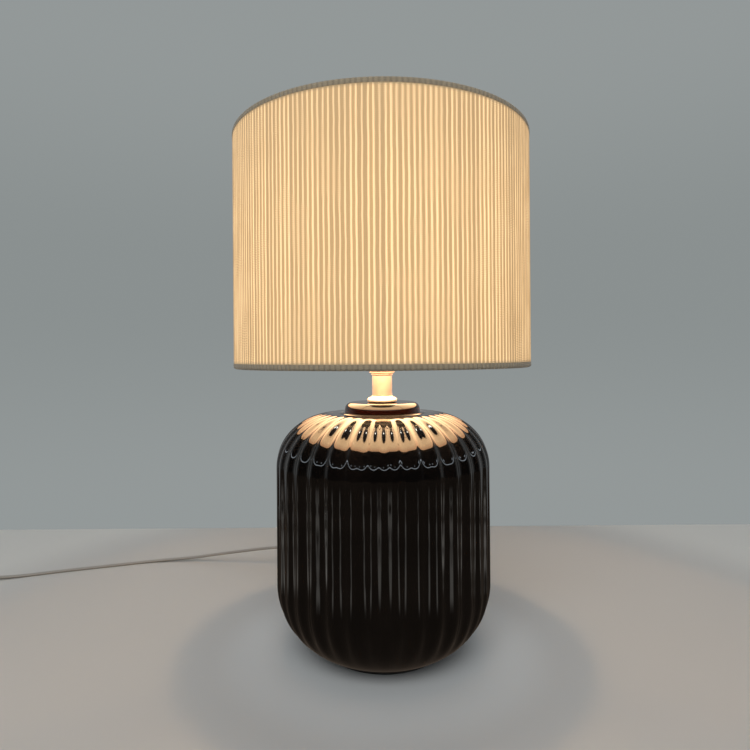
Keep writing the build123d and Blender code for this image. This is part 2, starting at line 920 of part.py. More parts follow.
with BuildPart() as cable_bushing:
    with BuildSketch(Plane.XZ.offset(-bushing_root)):
        with Locations((0, exit_height)):
            Circle(bushing_flange_radius)
    extrude(amount=bushing_root - flange_face)
    chamfer(cable_bushing.edges().group_by(Axis.Y)[-1], bushing_flange_depth / 2)
    with BuildSketch(Plane.XZ):
        with BuildLine():
            seat = EllipticalCenterArc(
                (body_radius - corner_width, corner_height),
                corner_width,
                corner_height,
                start_angle=-90,
                arc_size=90,
            )
            Polyline(seat @ 1, (0, corner_height), (0, 0), seat @ 0)
        make_face()
    revolve(axis=Axis.Z, mode=Mode.SUBTRACT)
    with BuildSketch(Plane.XZ.offset(-bushing_root)):
        with Locations((0, exit_height)):
            Circle(bushing_shank_radius)
    extrude(amount=bushing_root - flange_face)
    with BuildSketch(Plane.XZ.offset(-bushing_root)):
        with Locations((0, exit_height)):
            Circle(bushing_inner_lip_radius)
    extrude(amount=bushing_inner_lip)
    with BuildSketch(Plane.XZ.offset(-flange_face)):
        with Locations((0, exit_height)):
            Circle(bushing_shank_radius)
    with BuildSketch(Plane.XZ.offset(-tail_end)):
        with Locations((0, exit_height)):
            Circle(bushing_tail_radius)
    loft()
    with BuildSketch(Plane.XZ.offset(-tail_end)):
        with Locations((0, exit_height)):
            flex_profile(2 * thread_gap)
    extrude(amount=tail_end - bushing_root + bushing_inner_lip, mode=Mode.SUBTRACT)
finish(cable_bushing, "cable_bushing")

# Inner lead: from the bushing through the hollow body and the threaded rod
with BuildPart() as inner_lead:
    with BuildLine(Plane.YZ):
        lead_line = FilletPolyline(
            (tail_end, exit_height),
            (bushing_root - lead_straight, exit_height),
            (lead_low_offset, lead_low_height),
            (0, lead_high_height),
            (0, rod_top),
            radius=[lead_bend_radius] * 3,
        )
    with BuildSketch(Plane(origin=lead_line @ 0, x_dir=(1, 0, 0), z_dir=lead_line % 0)):
        flex_profile()
    sweep()
finish(inner_lead, "inner_lead")

with BuildPart() as lead_cores:
    for side in (1, -1):
        core_start = side * flex_thickness / 2
        core_end = side * (terminal_pitch - terminal_block_width + core_radius) / 2
        core_side = terminal_block_width / 2 - core_radius
        rise = insert_bottom - rod_top
        with BuildLine() as core_path:
            core_line = FilletPolyline(
                (core_start, 0, rod_top),
                (core_start, 0, rod_top + rise * core_rise_share),
                (core_end, core_side, insert_bottom - rise * core_rise_share),
                (core_end, core_side, insert_bottom),
                radius=core_radius,
            )
        with BuildSketch(Plane(origin=core_line @ 0, z_dir=core_line % 0)):
            Circle(core_radius)
        sweep(path=core_line)
finish(lead_cores, "lead_cores")

# Route of the free flex, from the bushing's tail to the switch
flex_rest = flex_thickness / 2
entry_height = switch_split - flex_thickness / 2
switch_route = [
    (0, tail_end, exit_height),
    (0, 139, exit_height),
    (-26, 166, 28.5),
    (-72, 182, 27),
    (-130, 190, 22.5),
    (-195, 201, 11.5),
    (-232, 209.5, 4),
    (-275, 208, flex_rest),
    (-318, 193.5, flex_rest),
    (-374, 175.5, flex_rest),
    (-424, 155.6, flex_rest),
    (-456, 144.4, entry_height),
    (-476, 137.6, entry_height),
]


def corner_radii(points):
    """Arc radius for each inner point of a route, from its shorter run and turn."""
    radii = []
    for before, here, after in zip(points, points[1:], points[2:]):
        arriving = Vector(*here) - Vector(*before)
        leaving = Vector(*after) - Vector(*here)
        half_turn = math.radians(arriving.get_angle(leaving)) / 2
        shorter = min(arriving.length, leaving.length)
        radii.append(run_share * shorter / math.tan(half_turn))
    return radii


def free_flex(points, label):
    """Flat flex along straight runs joined by tangent arcs."""
    radii = corner_radii(points)
    with BuildPart() as flex:
        with BuildLine():
            line = FilletPolyline(*points, radius=radii)
        across = Vector(0, 0, 1).cross(line % 0)
        with BuildSketch(Plane(origin=line @ 0, x_dir=across, z_dir=line % 0)):
            flex_profile()
        sweep(path=line)
    section = flex_thickness * (flex_width - flex_thickness)
    section += math.pi * flex_thickness**2 / 4
    share = flex.part.volume / (section * line.length)
    print(label, "length", round(line.length, 1), "volume share", round(share, 4))
    print(label, "radii", [round(radius) for radius in radii])
    finish(flex, label)
    return flex


flex_to_switch = free_flex(switch_route, "flex_to_switch")

# In-line rocker switch, lying where the flex reaches it
arrival = (Vector(*switch_route[-1]) - Vector(*switch_route[-2])).normalized()
heading = Vector(arrival.X, arrival.Y, 0).normalized()
switch_start = Vector(*switch_route[-1])
switch_centre = switch_start + heading * (switch_length / 2)


def switch_plane(height):
    """Horizontal plane at a height, along the switch."""
    origin = (switch_centre.X, switch_centre.Y, height)
    return Plane(origin=origin, x_dir=heading, z_dir=(0, 0, 1))


def switch_outline(inset=0):
    """Boat-shaped outline of the switch."""
    end = switch_length / 2 - inset
    narrow = switch_end_width / 2 - inset
    wide = switch_width / 2 - inset
    with BuildLine() as outline:
        ThreePointArc((-end, narrow), (0, wide), (end, narrow))
        Line((end, narrow), (end, -narrow))
        ThreePointArc((end, -narrow), (0, -wide), (-end, -narrow))
        Line((-end, -narrow), (-end, narrow))
    make_face(outline.edges())


pivot_height = switch_height - rocker_pivot_drop
screw_places = [(-switch_screw_offset, 0), (switch_screw_offset, 0)]

with BuildPart() as switch_base:
    with BuildSketch(switch_plane(0)):
        switch_outline()
    extrude(amount=switch_split)
    fillet(switch_base.edges().group_by(Axis.Z)[0], switch_round / 2)
    with BuildSketch(switch_plane(switch_wall)):
        switch_outline(switch_wall)
    extrude(amount=switch_split, mode=Mode.SUBTRACT)
    with BuildSketch(switch_plane(switch_wall)):
        with Locations(*screw_places):
            Circle(switch_screw_head_radius)
    extrude(amount=switch_split - switch_wall)
    with BuildSketch(switch_plane(0)):
        with Locations(*screw_places):
            Circle(switch_screw_head_radius - switch_wall / 2 + 2 * thread_gap)
    extrude(amount=switch_split, mode=Mode.SUBTRACT)
finish(switch_base, "switch_base")

opening_length = rocker_length + 2 * running_gap
opening_width = rocker_width + 2 * running_gap
ear_width = 2 * rocker_pin_radius + switch_wall
ear_drop = switch_height - pivot_height + rocker_pin_radius

with BuildPart() as switch_cover:
    with BuildSketch(switch_plane(switch_split)):
        switch_outline()
    extrude(amount=switch_height - switch_split)
    fillet(switch_cover.edges().group_by(Axis.Z)[-1], switch_round)
    with BuildSketch(switch_plane(switch_split)):
        switch_outline(switch_wall)
    extrude(amount=switch_height - switch_split - switch_wall, mode=Mode.SUBTRACT)
    with BuildSketch(switch_plane(switch_height)):
        for side in (1, -1):
            ear_reach = (opening_width + rocker_pin_length + switch_wall) / 2
            with Locations((0, side * ear_reach)):
                Rectangle(ear_width, rocker_pin_length + switch_wall)
    extrude(amount=-ear_drop - switch_wall / 2)
    with BuildSketch(switch_plane(switch_height)):
        Rectangle(opening_length, opening_width)
    extrude(amount=-switch_height, mode=Mode.SUBTRACT)
    pivot = switch_plane(pivot_height).origin
    across = heading.cross(Vector(0, 0, 1))
    with BuildSketch(Plane(origin=pivot, x_dir=heading, z_dir=across)):
        Circle(rocker_pin_radius + fit_gap)
    extrude(amount=opening_width / 2 + rocker_pin_length + fit_gap, both=True, mode=Mode.SUBTRACT)
finish(switch_cover, "switch_cover")

with BuildPart() as switch_rocker:
    rocker_plane = Plane(origin=pivot, x_dir=heading, z_dir=across)
    tilt = math.radians(rocker_tilt)
    tilted_way = heading * math.cos(tilt) + Vector(0, 0, 1) * math.sin(tilt)
    with BuildSketch(Plane(origin=pivot, x_dir=tilted_way, z_dir=across)) as rocker_side:
        with BuildLine():
            half = rocker_length / 2
            lift = rocker_pivot_drop + half * math.tan(tilt)
            keel = rocker_depth - rocker_pivot_drop
            Polyline(
                (0, rocker_pivot_drop),
                (half, lift),
                (half, 0),
                (rocker_stand, -keel),
                (-rocker_stand, -keel),
                (-half, 0),
                (-half, lift),
                close=True,
            )
        make_face()
        Circle(half, mode=Mode.INTERSECT)
    extrude(rocker_side.sketch, amount=rocker_width / 2, both=True)
    with BuildSketch(rocker_plane) as rocker_pins:
        Circle(rocker_pin_radius)
    extrude(rocker_pins.sketch, amount=rocker_width / 2 + rocker_pin_length, both=True)
finish(switch_rocker, "switch_rocker")

with BuildPart() as switch_screws:
    with BuildSketch(switch_plane(thread_gap)):
        with Locations(*screw_places):
            Circle(switch_screw_head_radius - switch_wall / 2)
    extrude(amount=switch_height - switch_wall - 2 * thread_gap)
finish(switch_screws, "switch_screws")

with BuildPart() as switch_contacts:
    with BuildSketch(switch_plane(switch_wall)):
        with Locations((-contact_spread / 2, 0), (contact_spread / 2, 0)):
            Rectangle(strip_length, strip_width)
    extrude(amount=strip_thickness)
    with BuildSketch(switch_plane(switch_wall + strip_thickness)):
        with Locations((-contact_spread / 2, 0), (contact_spread / 2, 0)):
            Rectangle(strip_thickness, strip_width)
    extrude(amount=pivot_height - rocker_depth - switch_wall)
finish(switch_contacts, "switch_contacts")

# Coil of put-away flex: in on the lower layer, up and out on the upper one
coil_level = tie_thickness + tie_gap + flex_rest
turning_radius = coil_inner_radius - coil_turn_pitch / 4
lower_turns = coil_turns + 1 / 4
total_turns = lower_turns + coil_turns
coil_start_radius = turning_radius + coil_turn_pitch * lower_turns
switch_end = switch_start + heading * switch_length
coil_way = switch_end + heading * coil_lead_run
coil_route = [
    (switch_end.X, switch_end.Y, entry_height),
    (coil_way.X, coil_way.Y, entry_height),
    (-570, 84, coil_level),
    (-570, 60, coil_level),
]
flex_to_coil = free_flex(coil_route, "flex_to_coil")
coil_centre = Vector(*coil_route[-1]) + Vector(coil_start_radius, 0, 0)


def coil_point(turn):
    """Middle of the flex after so many turns of the coil, which starts at its left."""
    radius = turning_radius + coil_turn_pitch * abs(turn - lower_turns)
    climb = (turn - lower_turns) / coil_climb_share + 1 / 2
    climb = min(max(climb, 0), 1)
    height = coil_layer_pitch * climb * climb * (3 - 2 * climb)
    angle = math.pi + 2 * math.pi * turn
    return coil_centre + Vector(radius * math.cos(angle), radius * math.sin(angle), height)


def coil_direction(turn):
    """Direction of the flex after so many turns."""
    if turn in (0, total_turns):
        outwards = coil_point(turn) - coil_centre
        return Vector(-outwards.Y, outwards.X, 0).normalized()
    step = 1 / 1000
    return (coil_point(turn + step) - coil_point(turn - step)).normalized()


def biarc(start, start_way, end, end_way):
    """Two tangent arcs between two points with the directions given there."""
    span = end - start
    turn_share = 2 * (1 - start_way.dot(end_way))
    along = 2 * span.dot(start_way + end_way)
    root = math.sqrt(along**2 + 4 * turn_share * span.dot(span))
    reach = (root - along) / (2 * turn_share)
    joint = (start + start_way * reach + end - end_way * reach) / 2
    first = Edge.make_tangent_arc(start, start_way, joint)
    second = Edge.make_tangent_arc(joint, first % 1, end)
    return [first, second]


def least_gap(edges):
    """Least gap of the flat flex to itself, on points along its two cores."""
    points = []
    travelled = 0
    for edge in edges:
        steps = max(2, round(edge.length / flex_width))
        for index in range(steps):
            place = edge @ (index / steps)
            across = Vector(0, 0, 1).cross(edge % (index / steps)).normalized()
            for side in (-1, 0, 1):
                core = place + across * (side * (flex_width - flex_thickness) / 2)
                points.append((travelled + edge.length * index / steps, core))
        travelled += edge.length
    least = math.inf
    for index, (here, place) in enumerate(points):
        for there, other in points[index + 1 :]:
            if there - here > coil_inner_radius:
                least = min(least, (other - place).length)
    return least - flex_thickness


coil_edges = []
quarters = round(total_turns * 4)
for index in range(quarters):
    here = index / 4
    there = (index + 1) / 4
    coil_edges += biarc(
        coil_point(here), coil_direction(here), coil_point(there), coil_direction(there)
    )
coil_wire = Wire(coil_edges)
print("flex_coil length", round(coil_wire.length, 1))
print("flex_coil least gap", round(least_gap(coil_edges), 2))

with BuildPart() as flex_coil:
    start_way = coil_wire % 0
    across = Vector(0, 0, 1).cross(start_way)
    with BuildSketch(Plane(origin=coil_wire @ 0, x_dir=across, z_dir=start_way)):
        flex_profile()
    sweep(path=coil_wire)
finish(flex_coil, "flex_coil")

with BuildPart() as coil_tie:
    tie_near = coil_inner_radius - flex_width / 2 - tie_gap
    tie_far = coil_start_radius - coil_turn_pitch / 2 + flex_width / 2 + tie_gap
    tie_high = tie_thickness + 2 * tie_gap + flex_thickness + coil_layer_pitch
    tie_middle = (tie_near + tie_far) / 2
    tie_plane = Plane.XZ.offset(-coil_centre.Y - tie_width / 2)
    with BuildSketch(tie_plane):
        with Locations((coil_centre.X + tie_middle, (tie_high + tie_thickness) / 2)):
            RectangleRounded(
                tie_far - tie_near + 2 * tie_thickness,
                tie_high + tie_thickness,
                tie_thickness + tie_gap,
            )
            Rectangle(
                tie_far - tie_near, tie_high - tie_thickness, mode=Mode.SUBTRACT
            )
    extrude(amount=tie_width)
finish(coil_tie, "coil_tie")

# Two-pin plug beside the coil, its pins towards +X
plug_level = plug_face_height / 2
coil_end = coil_point(total_turns)
plug_lead = [
    (coil_end.X, coil_end.Y, coil_end.Z),
    (coil_end.X + plug_lead_run, coil_end.Y, coil_end.Z),
    (coil_end.X + 2 * plug_lead_run, coil_end.Y, plug_level),
    (coil_end.X + 3 * plug_lead_run, coil_end.Y, plug_level),
]
flex_to_plug = free_flex(plug_lead, "flex_to_plug")
boot_tip = coil_end.X + 3 * plug_lead_run
plug_neck = boot_tip + plug_boot_length
plug_face = plug_neck + plug_depth


def plug_plane(x):
    """Upright plane across the plug, at a place along X."""
    return Plane(origin=(x, coil_end.Y, plug_level), x_dir=(0, 1, 0), z_dir=(1, 0, 0))


pin_places = [(-pin_pitch / 2, 0), (pin_pitch / 2, 0)]
with BuildPart() as plug_body:
    with BuildSketch(plug_plane(plug_neck)):
        RectangleRounded(plug_neck_width, plug_neck_height, plug_neck_height / 4)
    with BuildSketch(plug_plane(plug_face - plug_depth / 3)):
        with BuildLine():
            flat = pin_pitch / 2
            Polyline(
                (-plug_face_width / 2, -plug_side_height / 2),
                (-flat, -plug_face_height / 2),
                (flat, -plug_face_height / 2),
                (plug_face_width / 2, -plug_side_height / 2),
                (plug_face_width / 2, plug_side_height / 2),
                (flat, plug_face_height / 2),
                (-flat, plug_face_height / 2),
                (-plug_face_width / 2, plug_side_height / 2),
                close=True,
            )
        make_face()
    loft()
    extrude(faces().sort_by(Axis.X)[-1], amount=plug_depth / 3)
    with BuildSketch(plug_plane(plug_neck)):
        Circle(plug_boot_radius)
    with BuildSketch(plug_plane(boot_tip)):
        Circle(plug_boot_tip_radius)
    loft()
    with BuildSketch(plug_plane(plug_face)):
        with Locations(*pin_places):
            Circle(pin_core_radius + thread_gap)
    extrude(amount=-pin_root, mode=Mode.SUBTRACT)
finish(plug_body, "plug_body")

with BuildPart() as plug_pins:
    with BuildSketch(plug_plane(plug_face - pin_root)):
        with Locations(*pin_places):
            Circle(pin_core_radius)
    extrude(amount=pin_root + pin_sleeve_length)
    with BuildSketch(plug_plane(plug_face + pin_sleeve_length)):
        with Locations(*pin_places):
            Circle(pin_radius)
    extrude(amount=pin_length - pin_sleeve_length)
    chamfer(plug_pins.edges().group_by(Axis.X)[-1], pin_radius / 3)
finish(plug_pins, "plug_pins")

with BuildPart() as plug_sleeves:
    with BuildSketch(plug_plane(plug_face)):
        with Locations(*pin_places):
            Circle(pin_sleeve_radius)
            Circle(pin_core_radius + thread_gap, mode=Mode.SUBTRACT)
    extrude(amount=pin_sleeve_length)
finish(plug_sleeves, "plug_sleeves")
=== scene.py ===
"""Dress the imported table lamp: glazed fluted body, brass neck, lit ribbed shade, flex and plug."""

import json
import logging
import math
from dataclasses import dataclass
from enum import Enum
from typing import Callable, Iterable, Optional, Sequence, Union

import bmesh
import bpy
from mathutils import Matrix, Vector, noise


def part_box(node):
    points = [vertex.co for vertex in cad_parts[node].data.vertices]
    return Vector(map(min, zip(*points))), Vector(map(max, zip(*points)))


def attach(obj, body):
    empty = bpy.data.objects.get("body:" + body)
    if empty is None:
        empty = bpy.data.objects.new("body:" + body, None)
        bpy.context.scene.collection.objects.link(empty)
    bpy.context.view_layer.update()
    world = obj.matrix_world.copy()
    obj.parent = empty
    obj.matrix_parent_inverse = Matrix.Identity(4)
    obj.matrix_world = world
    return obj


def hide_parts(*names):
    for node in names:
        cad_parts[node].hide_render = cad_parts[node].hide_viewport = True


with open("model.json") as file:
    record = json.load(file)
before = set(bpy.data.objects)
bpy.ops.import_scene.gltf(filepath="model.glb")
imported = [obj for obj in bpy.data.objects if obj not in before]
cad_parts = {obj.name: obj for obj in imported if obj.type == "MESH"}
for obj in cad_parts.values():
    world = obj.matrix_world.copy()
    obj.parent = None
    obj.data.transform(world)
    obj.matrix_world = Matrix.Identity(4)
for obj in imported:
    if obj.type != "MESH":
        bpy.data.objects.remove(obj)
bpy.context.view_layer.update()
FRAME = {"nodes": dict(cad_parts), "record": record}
LOG = logging.getLogger("lamp")

Point = tuple[float, float, float]
Station = tuple[float, float]
Colour = tuple[float, float, float]

FULL_TURN = 2 * math.pi
IMAGE_PIXELS = 750
SHARP_ANGLE = math.radians(40)
ROUND_ANGLE = math.radians(60)
CORD_ANGLE = math.radians(70)
CLOTH_ANGLE = math.radians(80)
MERGE_DISTANCE = 1e-6


class Body(Enum):
    """Moving bodies of the lamp."""

    LAMP = "lamp"
    BULB = "bulb"
    SHADE = "shade"
    SHADE_RING = "shade_ring"
    ROCKER = "rocker"


class Signal:
    """A shader value. An expression on signals and numbers adds its Math nodes."""

    def __init__(self, shader: "Shader", socket: bpy.types.NodeSocket) -> None:
        """Wrap a socket.

        Args:
            shader: The material that the socket belongs to.
            socket: The node output that carries the value.
        """
        self.shader = shader
        self.socket = socket

    def _math(self, operation: str, *values: "Value") -> "Signal":
        """Add a Math node on the given values."""
        return self.shader.node("ShaderNodeMath", {"operation": operation}, values)

    def __add__(self, other: "Value") -> "Signal":
        """Sum."""
        return self._math("ADD", self, other)

    __radd__ = __add__

    def __sub__(self, other: "Value") -> "Signal":
        """Difference."""
        return self._math("SUBTRACT", self, other)

    def __rsub__(self, other: "Value") -> "Signal":
        """Difference from a number."""
        return self._math("SUBTRACT", other, self)

    def __mul__(self, other: "Value") -> "Signal":
        """Product."""
        return self._math("MULTIPLY", self, other)

    __rmul__ = __mul__

    def fraction(self) -> "Signal":
        """Part after the decimal point."""
        return self._math("FRACT", self)

    def whole(self) -> "Signal":
        """Largest whole number that isn't greater."""
        return self._math("FLOOR", self)

    def size(self) -> "Signal":
        """Value without its sign."""
        return self._math("ABSOLUTE", self)

    def wave(self) -> "Signal":
        """Sine of the value in radians."""
        return self._math("SINE", self)

    def turn_of(self, other: "Signal") -> "Signal":
        """Angle whose tangent is this value over the other."""
        return self._math("ARCTAN2", self, other)

    def parts(self) -> tuple["Signal", "Signal", "Signal"]:
        """X, Y and Z of a vector."""
        outputs = self.shader.node("ShaderNodeSeparateXYZ", inputs=[self]).socket.node.outputs
        return tuple(Signal(self.shader, output) for output in outputs)

    def rise(self, low: float, high: float) -> "Signal":
        """Smooth step from 0 at low to 1 at high, or down where low is the greater.

        Args:
            low: Value where the step starts.
            high: Value where the step ends.

        Returns:
            The step, between 0 and 1.
        """
        settings = {"interpolation_type": "SMOOTHSTEP"}
        return self.shader.node("ShaderNodeMapRange", settings, (self, low, high))


Value = Union[Signal, float, tuple]


class Shader:
    """Node tree of a material, a lamp or the world."""

    def __init__(self, owner: Union[bpy.types.Material, bpy.types.Light, bpy.types.World]) -> None:
        """Empty the owner's node tree.

        Args:
            owner: What the tree belongs to.
        """
        owner.use_nodes = True
        self.owner = owner
        self.tree = owner.node_tree
        self.tree.nodes.clear()

    @classmethod
    def named(cls, name: str) -> "Shader":
        """Start an empty material with a name."""
        return cls(bpy.data.materials.new(name))

    def node(
        self,
        kind: str,
        settings: Optional[dict] = None,
        inputs: Union[dict, Sequence[Value], None] = None,
        output: Union[int, str] = 0,
    ) -> Signal:
        """Add a node, set it up and feed its sockets.

        Args:
            kind: Blender's name of the node type.
            settings: Attributes, set before the sockets.
            inputs: Values or signals by socket name or index, or in socket order.
            output: The output socket that is wanted.

        Returns:
            The wanted output.
        """
        made = self.tree.nodes.new(kind)
        for name, value in (settings or {}).items():
            setattr(made, name, value)
        pairs = inputs.items() if isinstance(inputs, dict) else enumerate(inputs or ())
        for key, value in pairs:
            socket = made.inputs[key]
            if isinstance(value, Signal):
                self.tree.links.new(value.socket, socket)
            elif socket.type == "RGBA" and len(value) == 3:
                socket.default_value = (*value, 1.0)
            else:
                socket.default_value = value
        return Signal(self, made.outputs[output])

    def place(self) -> Signal:
        """Place on the object, in metres."""
        return self.node("ShaderNodeTexCoord", output="Object")

    def axes(self) -> tuple[Signal, Signal, Signal]:
        """X, Y and Z of the place on the object."""
        return self.place().parts()

    def grain(self, scale: float, detail: float = 3.0, stretch: Point = (1, 1, 1)) -> Signal:
        """Noise from 0 to 1 over the object.

        Args:
            scale: Features in a metre.
            detail: Octaves of finer noise.
            stretch: Factor on the scale along each axis.

        Returns:
            The noise.
        """
        scaled = self.node("ShaderNodeMapping", inputs={"Vector": self.place(), "Scale": stretch})
        inputs = {"Vector": scaled, "Scale": scale, "Detail": detail}
        return self.node("ShaderNodeTexNoise", inputs=inputs)

    def blend(self, first: Value, second: Value, share: Value) -> Signal:
        """Colour between two colours.

        Args:
            first: Colour at a share of 0.
            second: Colour at a share of 1.
            share: How much of the second is shown.

        Returns:
            The mixed colour.
        """
        inputs = {0: share, 6: first, 7: second}
        return self.node("ShaderNodeMix", {"data_type": "RGBA"}, inputs, output=2)

    def tint(self, first: Value, second: Value) -> Signal:
        """Colour times a colour."""
        settings = {"data_type": "RGBA", "blend_type": "MULTIPLY"}
        return self.node("ShaderNodeMix", settings, {0: 1.0, 6: first, 7: second}, 2)

    def relief(self, height: Signal, depth: float, strength: float = 1.0) -> Signal:
        """Normal of a fine relief.

        Args:
            height: Height of the relief, from 0 to 1.
            depth: Metres from its lowest to its highest place.
            strength: How much of the relief is used.

        Returns:
            The bent normal.
        """
        inputs = {"Height": height, "Distance": depth, "Strength": strength}
        return self.node("ShaderNodeBump", inputs=inputs)

    def surface(self, base: Value, roughness: Value, **more: Value) -> bpy.types.Material:
        """Finish the material with a Principled surface.

        Args:
            base: Base colour.
            roughness: Roughness.
            **more: Other sockets, with underscores for the spaces in their names.

        Returns:
            The finished material.
        """
        inputs = {"Base Color": base, "Roughness": roughness}
        for name, value in more.items():
            inputs[SURFACE_SOCKETS[name]] = value
        return self.close(self.node("ShaderNodeBsdfPrincipled", inputs=inputs))

    def close(self, shown: Signal, kind: str = "ShaderNodeOutputMaterial") -> bpy.types.Material:
        """Join a shader to the tree's output.

        Args:
            shown: What the owner shows.
            kind: Blender's name of the output node.

        Returns:
            The owner.
        """
        out = self.tree.nodes.new(kind)
        self.tree.links.new(shown.socket, out.inputs["Surface"])
        return self.owner


SURFACE_SOCKETS = {
    "metallic": "Metallic",
    "normal": "Normal",
    "ior": "IOR",
    "coat": "Coat Weight",
    "sheen": "Sheen Weight",
    "transmission": "Transmission Weight",
    "emission": "Emission Color",
    "glow": "Emission Strength",
}


def dimmed(colour: Colour, share: float) -> Colour:
    """The colour at a share of its brightness."""
    return tuple(share * part for part in colour)


@dataclass(frozen=True)
class Glaze:
    """Near-black, glass-like glaze, a touch browner in random clouds, that breaks to red-brown on the
    collar's side.
    """

    pool: Colour = (0.0022, 0.0017, 0.0015)
    crest: Colour = (0.0045, 0.0032, 0.0026)
    break_red: Colour = (0.011, 0.0019, 0.0010)
    refraction: float = 1.5
    band_inside: float = 0.0325
    band_outside: float = 0.0335
    band_low: Station = (0.2012, 0.2018)
    band_high: Station = (0.2062, 0.2050)

    def material(self) -> bpy.types.Material:
        """Make the glaze.

        Returns:
            The material.
        """
        shader = Shader.named("black_glaze")
        cloud = shader.grain(38, 4)
        speck = shader.grain(900, 2)
        across, along, height = shader.axes()
        near = (across * across + along * along).rise(self.band_outside**2, self.band_inside**2)
        collar = near * height.rise(*self.band_low) * height.rise(*self.band_high)
        thin = cloud.rise(0.35, 0.75)
        colour = shader.blend(shader.blend(self.pool, self.crest, thin), self.break_red, collar)
        roughness = 0.02 + cloud * 0.03 + speck.rise(0.62, 0.8) * 0.04
        normal = shader.relief(shader.grain(55, 2, (1, 1, 0.6)), 0.00012, 0.6)
        return shader.surface(colour, roughness, ior=self.refraction, normal=normal)


@dataclass(frozen=True)
class LitRibs:
    """Cream corded fabric with painted shade in its furrows and the bulb's light coming through, or unlit
    and painted a little darker where it is folded.
    """

    count: int = 204
    cloth: Colour = (0.36, 0.305, 0.21)
    furrow_glow: Colour = (1.08, 0.72, 0.37)
    cord_glow: Colour = (0.42, 0.21, 0.05)
    stitch_pitch: float = 0.00125
    # Painted shade: the folded edge is the cover's cloth made a little darker.
    folded: Colour = (0.345, 0.279, 0.191)
    fleck: Colour = (0.52, 0.5, 0.42)
    low_edge: float = 0.2405
    high_edge: float = 0.4345
    fold: float = 0.0042

    def _ribs(self, shader: Shader) -> tuple[Signal, Signal, Signal]:
        """Distance from each cord's middle, each cord's own number, and the height.

        Args:
            shader: The material's tree.

        Returns:
            The distance as a share of half the pitch, the cord's random number and the height.
        """
        across, along, height = shader.axes()
        turn = along.turn_of(across) * (self.count / FULL_TURN)
        sway = (shader.grain(70, 3, (1, 1, 0.6)) - 0.5) * 0.26
        cords = turn + sway + 0.5
        number = shader.node("ShaderNodeTexWhiteNoise", {"noise_dimensions": "1D"}, {"W": cords.whole()})
        return ((cords.fraction() - 0.5) * 2).size(), number, height

    def material(self, lit: bool) -> bpy.types.Material:
        """Make the fabric.

        Args:
            lit: Whether light comes through it.

        Returns:
            The material.
        """
        shader = Shader.named("shade_fabric_lit" if lit else "shade_fabric_folded")
        side, number, height = self._ribs(shader)
        patch = shader.grain(60, 3, (1, 1, 0.4)).rise(0.44, 0.62)
        stitch = (height * (FULL_TURN / self.stitch_pitch) + number * FULL_TURN).wave()
        ragged = side + stitch * patch * 0.34 + (number - 0.5) * 0.16
        furrow = ragged.rise(0.50, 0.76)
        fibre = shader.grain(1500, 2)
        # Painted shade: the folded edge uses the darker copy of the cloth.
        base = self.cloth if lit else self.folded
        # Painted shade: the cloth is darker in the furrows between cords.
        shade = shader.blend(base, dimmed(base, 0.8), furrow)
        cloth = shader.blend(shade, self.fleck, fibre.rise(0.55, 0.8) * 0.35)
        weave = (1 - furrow) * 0.7 + stitch * (1 - side) * 0.12 + fibre * 0.2
        normal = shader.relief(weave, 0.0005, 0.8)
        if not lit:
            return shader.surface(cloth, 0.9, sheen=0.25, normal=normal)
        middle = (self.low_edge + self.high_edge) / 2
        reach = (self.high_edge - self.low_edge) / 2
        edge = (height - middle).size().rise(reach - 0.4 * self.fold, reach - 1.7 * self.fold)
        heart = (height - 0.325).size().rise(0.12, 0.0)
        speckle = number * 0.6 + 0.2 + stitch * patch * 0.5
        streak = shader.blend((0.80, 0.78, 0.74), (1.14, 1.13, 1.08), speckle)
        through = shader.blend(self.cord_glow, self.furrow_glow, furrow)
        level = edge * (0.84 + heart * 0.2)
        glow = shader.blend((0, 0, 0), shader.tint(through, streak), level)
        return shader.surface(cloth, 0.9, sheen=0.2, emission=glow, glow=1.0, normal=normal)


@dataclass(frozen=True)
class LitLiner:
    """White liner film, lit by the bulb from inside."""

    film: Colour = (0.42, 0.36, 0.27)
    glow: Colour = (0.62, 0.42, 0.2)

    def material(self) -> bpy.types.Material:
        """Make the liner's film.

        Returns:
            The material.
        """
        shader = Shader.named("lit_liner")
        height = shader.axes()[2]
        heart = (height - 0.325).size().rise(0.11, 0.0)
        cloud = shader.grain(60, 2)
        level = 0.72 + heart * 0.3 + (cloud - 0.5) * 0.08
        glow = shader.blend((0, 0, 0), self.glow, level)
        return shader.surface(self.film, 0.55, emission=glow, glow=1.0)


@dataclass(frozen=True)
class Brass:
    """Lacquered pale brass, finely turned."""

    name: str = "pale_brass"
    colour: Colour = (0.90, 0.77, 0.67)
    roughness: float = 0.43

    def material(self) -> bpy.types.Material:
        """Make the brass.

        Returns:
            The material.
        """
        shader = Shader.named(self.name)
        lines = shader.grain(60, 2, (1, 1, 60))
        cloud = shader.grain(90, 3)
        colour = shader.blend(self.colour, dimmed(self.colour, 0.82), cloud.rise(0.45, 0.8))
        roughness = self.roughness + (lines - 0.5) * 0.12
        normal = shader.relief(lines, 0.00002, 0.5)
        return shader.surface(colour, roughness, metallic=1.0, normal=normal)


@dataclass(frozen=True)
class Metal:
    """Plain worked metal with faint scuffs."""

    name: str
    colour: Colour
    roughness: float = 0.35

    def material(self) -> bpy.types.Material:
        """Make the metal.

        Returns:
            The material.
        """
        shader = Shader.named(self.name)
        scuff = shader.grain(420, 4, (1, 1, 0.2))
        colour = shader.blend(self.colour, dimmed(self.colour, 0.7), scuff.rise(0.5, 0.75))
        roughness = self.roughness + scuff * 0.15
        return shader.surface(colour, roughness, metallic=1.0, normal=shader.relief(scuff, 0.00003, 0.5))


